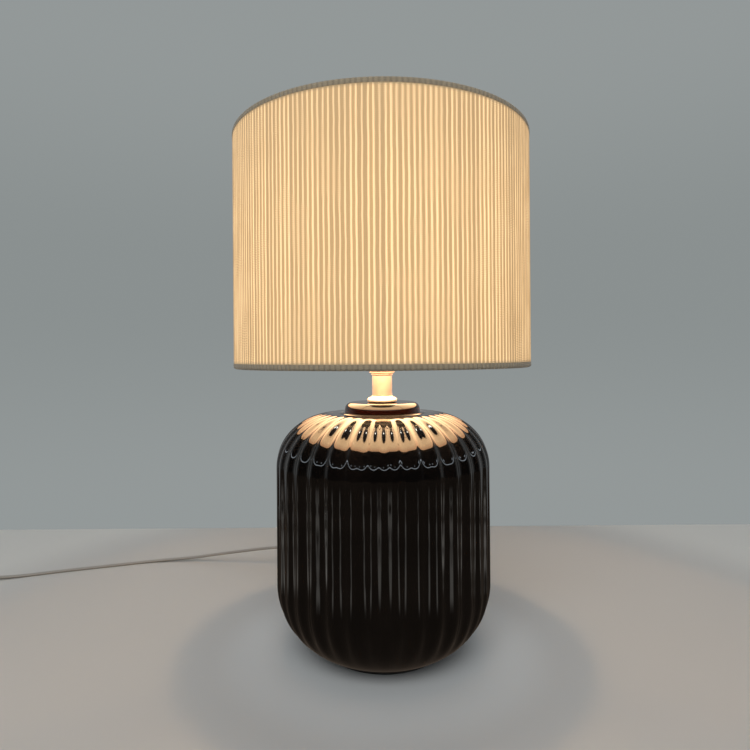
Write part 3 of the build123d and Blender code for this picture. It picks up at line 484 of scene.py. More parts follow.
@dataclass(frozen=True)
class Moulded:
    """Moulded plastic, rubber or powder coat: a fine texture over an even colour."""

    name: str
    colour: Colour
    roughness: float = 0.4
    texture: float = 1400.0
    depth: float = 0.00004

    def material(self) -> bpy.types.Material:
        """Make the plastic.

        Returns:
            The material.
        """
        shader = Shader.named(self.name)
        pebble = shader.grain(self.texture, 2)
        cloud = shader.grain(45, 2)
        colour = shader.blend(self.colour, dimmed(self.colour, 0.86), cloud.rise(0.4, 0.75))
        roughness = self.roughness + (pebble - 0.5) * 0.12
        return shader.surface(colour, roughness, normal=shader.relief(pebble, self.depth, 0.7))


@dataclass(frozen=True)
class Felt:
    """Pressed fibres of the pad or the board."""

    name: str
    colour: Colour
    fleck: Colour

    def material(self) -> bpy.types.Material:
        """Make the fibres.

        Returns:
            The material.
        """
        shader = Shader.named(self.name)
        fibre = shader.grain(1100, 4)
        colour = shader.blend(self.colour, self.fleck, fibre.rise(0.45, 0.75))
        return shader.surface(colour, 0.95, sheen=0.3, normal=shader.relief(fibre, 0.0003, 0.8))


@dataclass(frozen=True)
class ClearGlass:
    """Clear blown glass."""

    def material(self) -> bpy.types.Material:
        """Make the glass.

        Returns:
            The material.
        """
        shader = Shader.named("clear_glass")
        ripple = shader.grain(30, 2)
        normal = shader.relief(ripple, 0.0002, 0.3)
        return shader.surface((1.0, 1.0, 1.0), 0.0, transmission=1.0, ior=1.46, normal=normal)


@dataclass(frozen=True)
class Filament:
    """Glowing strip of the bulb."""

    glow: Colour = (1.0, 0.62, 0.25)
    strength: float = 14.0

    def material(self) -> bpy.types.Material:
        """Make the strip.

        Returns:
            The material.
        """
        shader = Shader.named("glowing_filament")
        bead = shader.grain(1200, 1).rise(0.2, 0.7)
        glow = shader.blend(dimmed(self.glow, 0.75), self.glow, bead)
        return shader.surface((0.9, 0.7, 0.3), 0.5, emission=glow, glow=self.strength)


@dataclass(frozen=True)
class ClearFlex:
    """Clear flat flex with its two stranded cores showing through."""

    jacket: Colour = (0.36, 0.335, 0.30)
    core: Colour = (0.25, 0.21, 0.16)

    def material(self) -> bpy.types.Material:
        """Make the flex's jacket. Its U runs across the section and its V in metres along it.

        Returns:
            The material.
        """
        shader = Shader.named("clear_flex")
        across, along, _ = shader.node("ShaderNodeTexCoord", output="UV").parts()
        lobe = ((across * 4).fraction() - 0.5).size().rise(0.5, 0.1)
        strand = ((along * 900 + across * 6) * FULL_TURN).wave()
        core = lobe * (0.75 + strand * 0.25)
        colour = shader.blend(self.jacket, self.core, core)
        normal = shader.relief(shader.grain(500, 2), 0.00005, 0.4)
        return shader.surface(colour, 0.28, normal=normal, coat=0.4)


class Finishes:
    """All materials of the lamp, made once and shared."""

    def __init__(self) -> None:
        """Make the materials."""
        self.glaze = Glaze().material()
        self.fabric_lit = LitRibs().material(lit=True)
        self.fabric_folded = LitRibs().material(lit=False)
        self.liner = LitLiner().material()
        self.brass = Brass().material()
        self.contact_brass = Metal("contact_brass", (0.76, 0.58, 0.3), 0.3).material()
        self.zinc = Metal("zinc_steel", (0.6, 0.61, 0.62), 0.32).material()
        self.shell = Metal("thread_shell", (0.82, 0.82, 0.8), 0.24).material()
        self.pins = Metal("pin_plating", (0.84, 0.8, 0.7), 0.2).material()
        self.powder = Moulded("powder_coat", (0.78, 0.75, 0.68), 0.5, 2200, 0.00005).material()
        self.holder = Moulded("holder_plastic", (0.74, 0.69, 0.58), 0.42).material()
        self.insert = Moulded("insert_plastic", (0.7, 0.67, 0.6), 0.55, 900, 0.00006).material()
        self.rubber = Moulded("black_rubber", (0.02, 0.02, 0.02), 0.7).material()
        self.vitrite = Moulded("bulb_insulator", (0.012, 0.012, 0.014), 0.15).material()
        self.flex = ClearFlex().material()
        self.strap = Moulded("strap_plastic", (0.75, 0.75, 0.72), 0.35).material()
        self.fitting = Moulded("fitting_plastic", (0.66, 0.63, 0.56), 0.33).material()
        self.rocker = Moulded("rocker_plastic", (0.72, 0.69, 0.62), 0.25).material()
        self.core = Moulded("core_insulation", (0.6, 0.56, 0.5), 0.4).material()
        self.felt = Felt("felt_pad", (0.012, 0.012, 0.012), (0.05, 0.05, 0.05)).material()
        self.board = Felt("fibreboard", (0.2, 0.14, 0.09), (0.34, 0.26, 0.17)).material()
        self.glass = ClearGlass().material()
        self.filament = Filament().material()


class Workshop:
    """Turns bmeshes into pieces that ride on the lamp's bodies."""

    def __init__(self, finishes: Finishes) -> None:
        """Keep what all pieces share.

        Args:
            finishes: The lamp's materials.
        """
        self.finishes = finishes

    def piece(
        self,
        name: str,
        shape: bmesh.types.BMesh,
        material: bpy.types.Material,
        slot: str,
        replaces: Iterable[str],
        body: Body = Body.LAMP,
        sharp: float = SHARP_ANGLE,
    ) -> bpy.types.Object:
        """Finish a bmesh as a piece of the lamp.

        Args:
            name: The piece's name.
            shape: Its mesh, which is used up.
            material: Its finish.
            slot: The record's material slot. Not used.
            replaces: The CAD nodes that it stands for.
            body: The body that it moves with.
            sharp: Angle from which an edge stays sharp.

        Returns:
            The new object.
        """
        mesh = bpy.data.meshes.new(name)
        shape.to_mesh(mesh)
        shape.free()
        mesh.polygons.foreach_set("use_smooth", [True] * len(mesh.polygons))
        mesh.set_sharp_from_angle(angle=sharp)
        mesh.materials.append(material)
        made = bpy.data.objects.new(name, mesh)
        bpy.context.scene.collection.objects.link(made)
        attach(made, body.value)
        for node in replaces:
            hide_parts(node)
        LOG.info("%s: %d faces on %s", name, len(mesh.polygons), body.value)
        return made

    @staticmethod
    def paint(material: bpy.types.Material, *nodes: str) -> None:
        """Give CAD nodes that stay their finish.

        Args:
            material: Their finish.
            *nodes: Their names.
        """
        for node in nodes:
            slots = FRAME["nodes"][node].data.materials
            slots.clear()
            slots.append(material)


@dataclass
class Assembly:
    """Sub-assembly of the lamp, with the workshop that makes it."""

    shop: Workshop

    @property
    def finishes(self) -> Finishes:
        """The lamp's materials."""
        return self.shop.finishes


def settle(shape: bmesh.types.BMesh) -> None:
    """Put a mesh's parts in a fixed order, since the one that an extrusion leaves varies from run to run.

    Args:
        shape: The mesh, in which no two corners share a place.
    """
    corners = sorted(shape.verts, key=lambda corner: corner.co[:])
    ranks = {corner: rank for rank, corner in enumerate(corners)}
    shape.verts.sort(key=ranks.get)
    shape.verts.index_update()
    for parts in (shape.edges, shape.faces):
        ordered = sorted(parts, key=lambda part: sorted(corner.index for corner in part.verts))
        ranks = {part: rank for rank, part in enumerate(ordered)}
        parts.sort(key=ranks.get)


def ring_section(outline: Sequence[Station], steps: int) -> bmesh.types.BMesh:
    """Turn a closed outline about the lamp's axis.

    Args:
        outline: Radius and height of each corner, in order round the section.
        steps: Faces around the axis.

    Returns:
        The turned shape, with outward faces.
    """
    shape = bmesh.new()
    corners = [shape.verts.new((radius, 0, height)) for radius, height in outline]
    edges = [shape.edges.new(pair) for pair in zip(corners, corners[1:] + corners[:1])]
    bmesh.ops.spin(
        shape,
        geom=corners + edges,
        axis=(0, 0, 1),
        cent=(0, 0, 0),
        angle=FULL_TURN,
        steps=steps,
        use_merge=True,
    )
    bmesh.ops.remove_doubles(shape, verts=shape.verts, dist=MERGE_DISTANCE)
    bmesh.ops.recalc_face_normals(shape, faces=shape.faces)
    settle(shape)
    return shape


def ribbed_ring(
    outline: Sequence[Station], count: int, across: int, place: Callable[[int, float], Station]
) -> bmesh.types.BMesh:
    """Turn a closed outline whose points move with their place across a rib.

    Args:
        outline: Radius and height of the section's points, in order round it.
        count: Ribs around the axis.
        across: Faces across one rib.
        place: Gives radius and height from an outline index and a share across the rib.

    Returns:
        The ribbed shape, with outward faces.
    """
    shape = bmesh.new()
    rows = len(outline)
    bmesh.ops.create_grid(shape, x_segments=across, y_segments=rows, size=0.5)
    pitch = FULL_TURN / count
    for corner in shape.verts:
        share = corner.co.x + 0.5
        row = round((corner.co.y + 0.5) * rows) % rows
        radius, height = place(row, share)
        turn = (share - 0.5) * pitch
        corner.co = (radius * math.cos(turn), radius * math.sin(turn), height)
    bmesh.ops.remove_doubles(shape, verts=shape.verts, dist=MERGE_DISTANCE)
    bmesh.ops.spin(
        shape,
        geom=shape.verts[:] + shape.edges[:] + shape.faces[:],
        axis=(0, 0, 1),
        cent=(0, 0, 0),
        angle=FULL_TURN - pitch,
        steps=count - 1,
        use_duplicate=True,
    )
    bmesh.ops.remove_doubles(shape, verts=shape.verts, dist=MERGE_DISTANCE)
    bmesh.ops.recalc_face_normals(shape, faces=shape.faces)
    return shape


def arc(centre: Station, reach: Station, start: float, end: float, steps: int) -> list[Station]:
    """Points of an elliptical arc.

    Args:
        centre: Radius and height of its centre.
        reach: Its half axes, outwards and upwards.
        start: First angle in degrees, from outwards towards upwards.
        end: Last angle in degrees.
        steps: Stretches between the points.

    Returns:
        The points, ends included.
    """
    points = []
    for index in range(steps + 1):
        turn = math.radians(start + (end - start) * index / steps)
        points.append((centre[0] + reach[0] * math.cos(turn), centre[1] + reach[1] * math.sin(turn)))
    return points


def straight_wall(radius: float, low: float, high: float, steps: int) -> list[Station]:
    """Evenly spaced points of a straight wall, from low to high, ends included."""
    return [(radius, low + (high - low) * index / steps) for index in range(steps + 1)]


def press_thread(
    shape: bmesh.types.BMesh, radius: float, low: float, high: float, pitch: float, depth: float
) -> None:
    """Press a rounded right-hand thread into a turned wall.

    Args:
        shape: What the wall belongs to.
        radius: The wall's radius.
        low: Height where the thread starts.
        high: Height where it ends.
        pitch: Rise of one turn.
        depth: How far its furrows reach inwards, or outwards where it is negative.
    """
    for corner in shape.verts:
        reach = math.hypot(corner.co.x, corner.co.y)
        if abs(reach - radius) > 1e-5 or not low <= corner.co.z <= high:
            continue
        turn = math.atan2(corner.co.y, corner.co.x) / FULL_TURN
        furrow = (1 - math.cos(FULL_TURN * (corner.co.z / pitch - turn))) / 2
        share = min(2 * (corner.co.z - low) / pitch, 2 * (high - corner.co.z) / pitch, 1)
        factor = (reach - depth * furrow * share) / reach
        corner.co.x *= factor
        corner.co.y *= factor


@dataclass
class CameraRig:
    """Camera at the photograph's place."""

    place: Point = (-0.006, -0.5098, 0.2508)
    focal_pixels: float = 586.0
    horizon_row: float = 355.2
    roll: float = -0.0075
    sensor: float = 36.0

    def build(self) -> None:
        """Make the camera and look through it."""
        camera = bpy.data.cameras.new("camera")
        camera.sensor_width = self.sensor
        camera.lens = self.focal_pixels / IMAGE_PIXELS * self.sensor
        camera.shift_y = (self.horizon_row - IMAGE_PIXELS / 2) / IMAGE_PIXELS
        camera.clip_start = 0.01
        held = bpy.data.objects.new("camera", camera)
        held.matrix_world = (
            Matrix.Translation(self.place)
            @ Matrix.Rotation(math.radians(90), 4, "X")
            @ Matrix.Rotation(self.roll, 4, "Z")
        )
        bpy.context.scene.collection.objects.link(held)
        bpy.context.scene.camera = held


@dataclass
class FlatFlex(Assembly):
    """The flat twin flex: from the body to the switch, and on through the coil to the plug."""

    width: float = 0.0052
    thickness: float = 0.0026
    lobe_points: int = 7
    lobe_turn: float = 125.0
    waist: float = 0.62
    coil_centre: Point = (-0.532, 0.060, 0.0023)
    coil_turning_radius: float = 0.019475
    coil_pitch: float = 0.0057
    coil_layer: float = 0.0036
    coil_turns: int = 3
    coil_climb_share: float = 0.22
    points_a_turn: int = 24
    route_to_switch: Sequence[Point] = (
        (0, 0.11108, 0.027), (0, 0.139, 0.027), (-0.026, 0.166, 0.0285), (-0.072, 0.182, 0.027),
        (-0.130, 0.190, 0.0225), (-0.195, 0.201, 0.0115), (-0.232, 0.2095, 0.004),
        (-0.275, 0.208, 0.0013), (-0.318, 0.1935, 0.0013), (-0.374, 0.1755, 0.0013),
        (-0.424, 0.1556, 0.0013), (-0.456, 0.1444, 0.0067), (-0.476, 0.1376, 0.0067),
    )
    route_to_coil: Sequence[Point] = (
        (-0.53849, 0.11635, 0.0067), (-0.55553, 0.11056, 0.0067), (-0.570, 0.084, 0.0023),
    )
    route_to_plug: Sequence[Point] = (
        (-0.5215, 0.023425, 0.0059), (-0.511, 0.023425, 0.00685), (-0.5005, 0.023425, 0.00685),
    )

    def coil_route(self) -> list[Point]:
        """Lay the coil: three turns in on the lower layer, three out above.

        Returns:
            The control points of its curve.
        """
        lower = self.coil_turns + 0.25
        total = lower + self.coil_turns
        steps = round(total * self.points_a_turn)
        points = []
        for index in range(steps + 1):
            turn = total * index / steps
            radius = self.coil_turning_radius + self.coil_pitch * abs(turn - lower)
            climb = min(max((turn - lower) / self.coil_climb_share + 0.5, 0), 1)
            height = self.coil_layer * climb * climb * (3 - 2 * climb)
            angle = math.pi + FULL_TURN * turn
            x, y, z = self.coil_centre
            points.append((x + radius * math.cos(angle), y + radius * math.sin(angle), z + height))
        return points

    @staticmethod
    def smooth_line(points: Sequence[Point], resolution: int) -> list[Vector]:
        """Follow a NURBS curve with the given control points.

        Args:
            points: The control points.
            resolution: Points on each stretch of the curve.

        Returns:
            The points of its line.
        """
        curve = bpy.data.curves.new("flex_route", "CURVE")
        curve.dimensions = "3D"
        curve.resolution_u = resolution
        spline = curve.splines.new("NURBS")
        spline.points.add(len(points) - 1)
        for target, point in zip(spline.points, points):
            target.co = (*point, 1.0)
        spline.order_u = 3
        spline.use_endpoint_u = True
        holder = bpy.data.objects.new("flex_route", curve)
        line = bpy.data.meshes.new_from_object(holder)
        followed = [corner.co.copy() for corner in line.vertices]
        bpy.data.objects.remove(holder)
        bpy.data.curves.remove(curve)
        bpy.data.meshes.remove(line)
        return followed

    def section(self) -> list[Station]:
        """Draw the twin-lobed section.

        Returns:
            Its points, across and up, in order round it.
        """
        radius = self.thickness / 2
        centre = self.width / 2 - radius
        points = []
        for side in (1, -1):
            for index in range(self.lobe_points):
                turn = math.radians(self.lobe_turn * (2 * index / (self.lobe_points - 1) - 1))
                points.append((side * (centre + radius * math.cos(turn)), side * radius * math.sin(turn)))
            points.append((0, side * radius * self.waist))
        return points

    def tube(self, line: Sequence[Vector]) -> bmesh.types.BMesh:
        """Sweep the section along a line, kept level.

        Args:
            line: Points that it follows.

        Returns:
            The flex, with its section and length in its UV map.
        """
        section = self.section()
        shape = bmesh.new()
        chart = shape.loops.layers.uv.new("flex")
        rings = []
        edges = []
        lengths = [0.0]
        for here, there in zip(line, line[1:]):
            lengths.append(lengths[-1] + (there - here).length)
        for index, place in enumerate(line):
            ahead = (line[min(index + 1, len(line) - 1)] - line[max(index - 1, 0)]).normalized()
            across = Vector((0, 0, 1)).cross(ahead).normalized()
            upwards = ahead.cross(across)
            spots = [place + across * x + upwards * z for x, z in section]
            if not rings:
                ring = [shape.verts.new(spot) for spot in spots]
                edges = [shape.edges.new(pair) for pair in zip(ring, ring[1:] + ring[:1])]
            else:
                made = bmesh.ops.extrude_edge_only(shape, edges=edges)["geom"]
                fresh = {item for item in made if isinstance(item, bmesh.types.BMVert)}
                ring = [self._follower(corner, fresh) for corner in rings[-1]]
                for corner, spot in zip(ring, spots):
                    corner.co = spot
                edges = [item for item in made if isinstance(item, bmesh.types.BMEdge)]
                edges = [edge for edge in edges if fresh.issuperset(edge.verts)]
            rings.append(ring)
        places = {}
        for row, ring in enumerate(rings):
            places.update({corner: (row, column) for column, corner in enumerate(ring)})
        for face in shape.faces:
            columns = [places[corner][1] for corner in face.verts]
            wraps = max(columns) - min(columns) > 1
            for loop in face.loops:
                row, column = places[loop.vert]
                if wraps and column == 0:
                    column = len(section)
                loop[chart].uv = (column / len(section), lengths[row])
        shape.faces.new(rings[0])
        shape.faces.new(rings[-1])
        bmesh.ops.recalc_face_normals(shape, faces=shape.faces)
        settle(shape)
        return shape

    @staticmethod
    def _follower(corner: bmesh.types.BMVert, fresh: set[bmesh.types.BMVert]) -> bmesh.types.BMVert:
        """New corner that an extrusion joined to a corner."""
        neighbours = (edge.other_vert(corner) for edge in corner.link_edges)
        return next(other for other in neighbours if other in fresh)

    def _laid(self, name: str, line: Sequence[Vector], replaces: Iterable[str]) -> bpy.types.Object:
        """Make one stretch of the flex.

        Args:
            name: The piece's name.
            line: Points that it follows.
            replaces: The CAD nodes that it stands for.

        Returns:
            The new object.
        """
        return self.shop.piece(
            name, self.tube(line), self.finishes.flex, "flex_plastic", replaces, sharp=CORD_ANGLE
        )

    def build(self) -> None:
        """Make both stretches of the flex."""
        near_line = self.smooth_line(self.route_to_switch, 10)
        self._laid("flex_near", near_line, ["flex_to_switch"])
        far_route = [*self.route_to_coil, *self.coil_route(), *self.route_to_plug]
        far_line = self.smooth_line(far_route, 4)
        self._laid("flex_far", far_line, ["flex_to_coil", "flex_coil", "flex_to_plug"])


@dataclass
class CeramicBody(Assembly):
    """Slip-cast body with 35 waves round it, glazed near-black."""

    rib_count: int = 35
    rib_depth: float = 0.002
    across: int = 18
    radius: float = 0.0913
    wall: float = 0.0055
    corner: Station = (0.0602, 0.0594)
    wall_top: float = 0.1576
    wall_steps: int = 12
    shoulder: Station = (0.0479, 0.0434)
    foot_radius: float = 0.052
    foot_opening: float = 0.040
    foot_ease: float = 0.0006
    foot_bottom: float = 0.002
    rib_start: float = 0.040
    rib_full: float = 0.080
    fade_low: float = 0.014
    fade_high: float = 0.040
    ledge_rise: tuple[Station, ...] = ((0.0410, 0), (0.0390, 0), (0.0375, 0.0001), (0.0366, 0.0003))
    step_radius: float = 0.036
    step_height: float = 0.0006
    collar_radius: float = 0.0327
    collar_height: float = 0.0091
    collar_round: float = 0.0055
    rod_hole: float = 0.0054

    def outline(self) -> tuple[list[Station], int]:
        """Section of the body and the number of its outside points.

        Returns:
            The points, outside first from the foot upwards, and how many are outside.
        """
        low_centre = (self.radius - self.corner[0], self.corner[1])
        foot_turn = math.degrees(math.acos((self.foot_radius - low_centre[0]) / self.corner[0]))
        foot_join = self.corner[1] * (1 - math.sin(math.radians(foot_turn)))
        points = [
            (self.foot_opening, self.foot_bottom),
            (self.foot_radius - self.foot_ease, self.foot_bottom),
            (self.foot_radius, self.foot_bottom + self.foot_ease),
            (self.foot_radius, foot_join),
        ]
        points += arc(low_centre, self.corner, -foot_turn, 0, 26)[1:]
        points += straight_wall(self.radius, self.corner[1], self.wall_top, self.wall_steps)[1:-1]
        shoulder_centre = (self.radius - self.shoulder[0], self.wall_top)
        points += arc(shoulder_centre, self.shoulder, 0, 90, 34)
        top = self.wall_top + self.shoulder[1]
        ledge = top + self.step_height
        rim = top + self.collar_height
        points += [(radius, top + rise) for radius, rise in self.ledge_rise]
        points += [
            (self.step_radius, ledge),
            (self.collar_radius + 0.0007, ledge),
            (self.collar_radius + 0.0003, ledge + 0.0001),
        ]
        round_centre = (self.collar_radius - 0.0002 - self.collar_round, rim - self.collar_round)
        points += arc(round_centre, (self.collar_round, self.collar_round), 8, 90, 10)
        points += [(0.018, rim), (self.rod_hole, rim)]
        outside = len(points)
        ceiling = rim - self.wall
        inner_collar = self.collar_radius - self.wall
        inner_reach = (self.shoulder[0] - self.wall, self.shoulder[1] - self.wall)
        points += [(self.rod_hole, ceiling), (inner_collar, ceiling), (inner_collar, top - self.wall)]
        points += arc(shoulder_centre, inner_reach, 90, 0, 8)
        inner_floor = self.foot_bottom + self.wall
        low_reach = (self.corner[0] - self.wall, self.corner[1] - inner_floor)
        opening_turn = math.degrees(math.acos((self.foot_opening - low_centre[0]) / low_reach[0]))
        points += arc(low_centre, low_reach, 0, -opening_turn, 10)
        return points, outside

    def _rib_share(self, radius: float, height: float) -> float:
        """Depth of the grooves at a place, as a share of their full depth.

        Args:
            radius: Distance from the axis.
            height: Height above the table.

        Returns:
            The share, from 0 to 1.
        """

        def step(value: float, low: float, high: float) -> float:
            """Smooth step from low to high."""
            share = min(max((value - low) / (high - low), 0), 1)
            return share * share * (3 - 2 * share)

        if height > self.wall_top:
            return step(radius, self.rib_start, self.rib_full)
        return radius / self.radius * step(height, self.fade_low, self.fade_high)

    def build(self) -> None:
        """Make the body and dress it."""
        points, outside = self.outline()
        normals = []
        for index in range(outside):
            before = Vector(points[max(index - 1, 0)])
            after = Vector(points[min(index + 1, outside - 1)])
            along = (after - before).normalized()
            normals.append(Vector((along.y, -along.x)))

        def place(row: int, share: float) -> Station:
            """Find a point of the skin.

            Args:
                row: Index in the outline.
                share: Place across the rib, from 0 to 1.

            Returns:
                Its radius and height.
            """
            if row >= outside:
                return points[row]
            away = abs(2 * share - 1)
            groove = 1 - 2 * away**2 if away < 0.5 else 2 * (1 - away) ** 2
            depth = self.rib_depth * self._rib_share(*points[row]) * groove
            moved = Vector(points[row]) - normals[row] * depth
            return moved.x, moved.y

        shape = ribbed_ring(points, self.rib_count, self.across, place)
        quarter = Matrix.Rotation(-math.pi / 2, 3, "Z")
        bmesh.ops.rotate(shape, verts=shape.verts, cent=(0, 0, 0), matrix=quarter)
        self.shop.piece(
            "ceramic_shell", shape, self.finishes.glaze, "glaze", ["ceramic_body"], sharp=ROUND_ANGLE
        )


@dataclass
class Underside(Assembly):
    """Pad and board in the foot, and the clamp and the lead inside the body."""

    def build(self) -> None:
        """Dress the pieces, which keep their shapes."""
        paint = self.shop.paint
        paint(self.finishes.felt, "foot_pad")
        paint(self.finishes.board, "base_board")
        paint(self.finishes.rubber, "rubber_washer", "neck_gasket")
        paint(self.finishes.zinc, "steel_washer", "lock_washer", "clamp_nut", "threaded_rod")
        paint(self.finishes.flex, "inner_lead")
        paint(self.finishes.core, "lead_cores")


@dataclass
class BrassNeck(Assembly):
    """Turned brass neck: bell flange, tube, and the ring under the lampholder."""

    steps: int = 96
    bore: float = 0.00525
    tube_bore: float = 0.0076
    bead: float = 0.0009
    ease: float = 0.0004

    def build(self) -> None:
        """Make the three turned pieces."""
        low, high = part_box("neck_flange")
        tube_low, tube_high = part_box("neck_tube")
        reach, bottom = high.x, low.z
        tube, top, joint = tube_high.x, tube_low.z, tube_high.z
        flange = [
            (self.bore, bottom),
            (reach - self.ease, bottom),
            (reach, bottom + self.ease),
            (reach, bottom + 0.0013),
        ]
        flange += arc((reach - 0.0026, bottom + 0.0013), (0.0026, 0.0022), 8, 82, 8)
        flange += [(tube + 0.0009, top - 0.0009), (tube + self.ease, top), (self.bore, top)]
        pipe = [(self.tube_bore, top), (tube, top), (tube, joint), (self.tube_bore, joint)]
        plate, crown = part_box("neck_ring")[1].x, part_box("neck_ring")[1].z
        middle = (joint + crown) / 2
        ring = [(self.bore, joint - 0.0005), (tube, joint - 0.0005)]
        ring += arc((tube, joint + 0.0006), (self.bead, 0.0006), -80, 80, 6)
        ring += [(tube + 0.0003, middle)]
        ring += [(plate - self.ease, middle), (plate, middle + self.ease)]
        ring += [(plate, crown - self.ease), (plate - self.ease, crown), (self.bore, crown)]
        rows = (
            ("neck_bell", "neck_flange", flange),
            ("neck_pipe", "neck_tube", pipe),
            ("neck_plate", "neck_ring", ring),
        )
        for name, node, outline in rows:
            shape = ring_section(outline, self.steps)
            self.shop.piece(name, shape, self.finishes.brass, "neck_brass", [node])


@dataclass
class Lampholder(Assembly):
    """Threaded lampholder with its terminals and contacts."""

    spigot_radius: float = 0.01595
    spigot: float = 0.003
    cavity_radius: float = 0.01545
    sleeve_radius: float = 0.0196
    seat_height: float = 0.0097
    flange_height: float = 0.0024
    bore: float = 0.01375
    lip: float = 0.0008
    ring_pitch: float = 0.0025
    ring_depth: float = 0.00045
    bulb_pitch: float = 0.00363
    bulb_depth: float = 0.0006
    contact_height: float = 0.0135

    def _sleeve(self) -> bmesh.types.BMesh:
        """Turn the sleeve, with the ring's thread outside and the bulb's thread inside.

        Returns:
            The sleeve's mesh.
        """
        low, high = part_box("holder_sleeve")
        joint = low.z + self.spigot
        seat = joint + self.seat_height
        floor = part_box("holder_insert")[1].z
        outside = (self.sleeve_radius, seat + 0.0006, high.z - self.lip)
        inside = (self.bore, floor + self.contact_height, high.z - self.lip)
        outline = [
            (self.cavity_radius, low.z),
            (self.spigot_radius, low.z),
            (self.spigot_radius, joint),
            (self.sleeve_radius, joint),
            (self.sleeve_radius, seat - self.flange_height),
            (high.x - 0.0003, seat - self.flange_height),
            (high.x, seat - self.flange_height + 0.0003),
            (high.x, seat - 0.0003),
            (high.x - 0.0003, seat),
            (self.sleeve_radius, seat),
        ]
        outline += straight_wall(*outside, 80)
        outline += [(self.sleeve_radius - self.lip, high.z), (self.bore + self.lip, high.z)]
        outline += straight_wall(*inside, 48)[::-1]
        outline += [(self.bore, floor), (self.cavity_radius, floor)]
        shape = ring_section(outline, 96)
        press_thread(shape, *outside, self.ring_pitch, self.ring_depth)
        press_thread(shape, *inside, self.bulb_pitch, -self.bulb_depth)
        return shape

    def build(self) -> None:
        """Make the threaded sleeve and dress the other pieces."""
        holder = self.finishes.holder
        self.shop.paint(holder, "holder_cap", "shade_ring")
        self.shop.piece("threaded_sleeve", self._sleeve(), holder, "holder_plastic", ["holder_sleeve"])
        self.shop.paint(self.finishes.insert, "holder_insert")
        brass = self.finishes.contact_brass
        self.shop.paint(brass, "terminal_blocks", "centre_contact", "side_contact")
        self.shop.paint(self.finishes.zinc, "terminal_screws", "grub_screw")


@dataclass
class Bulb(Assembly):
    """Clear screw bulb with four glowing strips."""

    wall: float = 0.0004
    foot_radius: float = 0.0095
    pitch: float = 0.00363
    depth: float = 0.00055
    inner_depth: float = 0.0003
    plain_rim: float = 0.002

    def _cap(self) -> bmesh.types.BMesh:
        """Turn the rolled thread shell.

        Returns:
            The cap's mesh.
        """
        low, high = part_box("bulb_cap")
        inner = high.x - self.wall
        shoulder = low.z + high.x - self.foot_radius
        outside = (high.x, shoulder, high.z - self.plain_rim)
        inside = (inner, shoulder, high.z - self.plain_rim)
        outline = [(self.foot_radius, low.z)]
        outline += straight_wall(*outside, 48)
        outline += [(high.x, high.z), (inner, high.z)]
        outline += straight_wall(*inside, 48)[::-1]
        outline += [(self.foot_radius, low.z + self.wall), (0.0001, low.z + self.wall), (0.0001, low.z)]
        shape = ring_section(outline, 96)
        press_thread(shape, *outside, self.pitch, self.depth)
        press_thread(shape, *inside, self.pitch, self.inner_depth)
        return shape

    def build(self) -> None:
        """Make the threaded cap, dress the other pieces and let the bulb's light out."""
        cap = self.shop.piece(
            "threaded_cap", self._cap(), self.finishes.shell, "bulb_shell", ["bulb_cap"], Body.BULB
        )
        cap.visible_shadow = False
        paint = self.shop.paint
        paint(self.finishes.vitrite, "bulb_insulator")
        paint(self.finishes.contact_brass, "bulb_tip")
        paint(self.finishes.glass, "bulb_glass", "bulb_stem")
        paint(self.finishes.filament, "bulb_filaments")
        paint(self.finishes.zinc, "filament_supports")
        for node in FRAME["record"]["behaviour"]["bodies"][Body.BULB.value]:
            FRAME["nodes"][node].visible_shadow = False


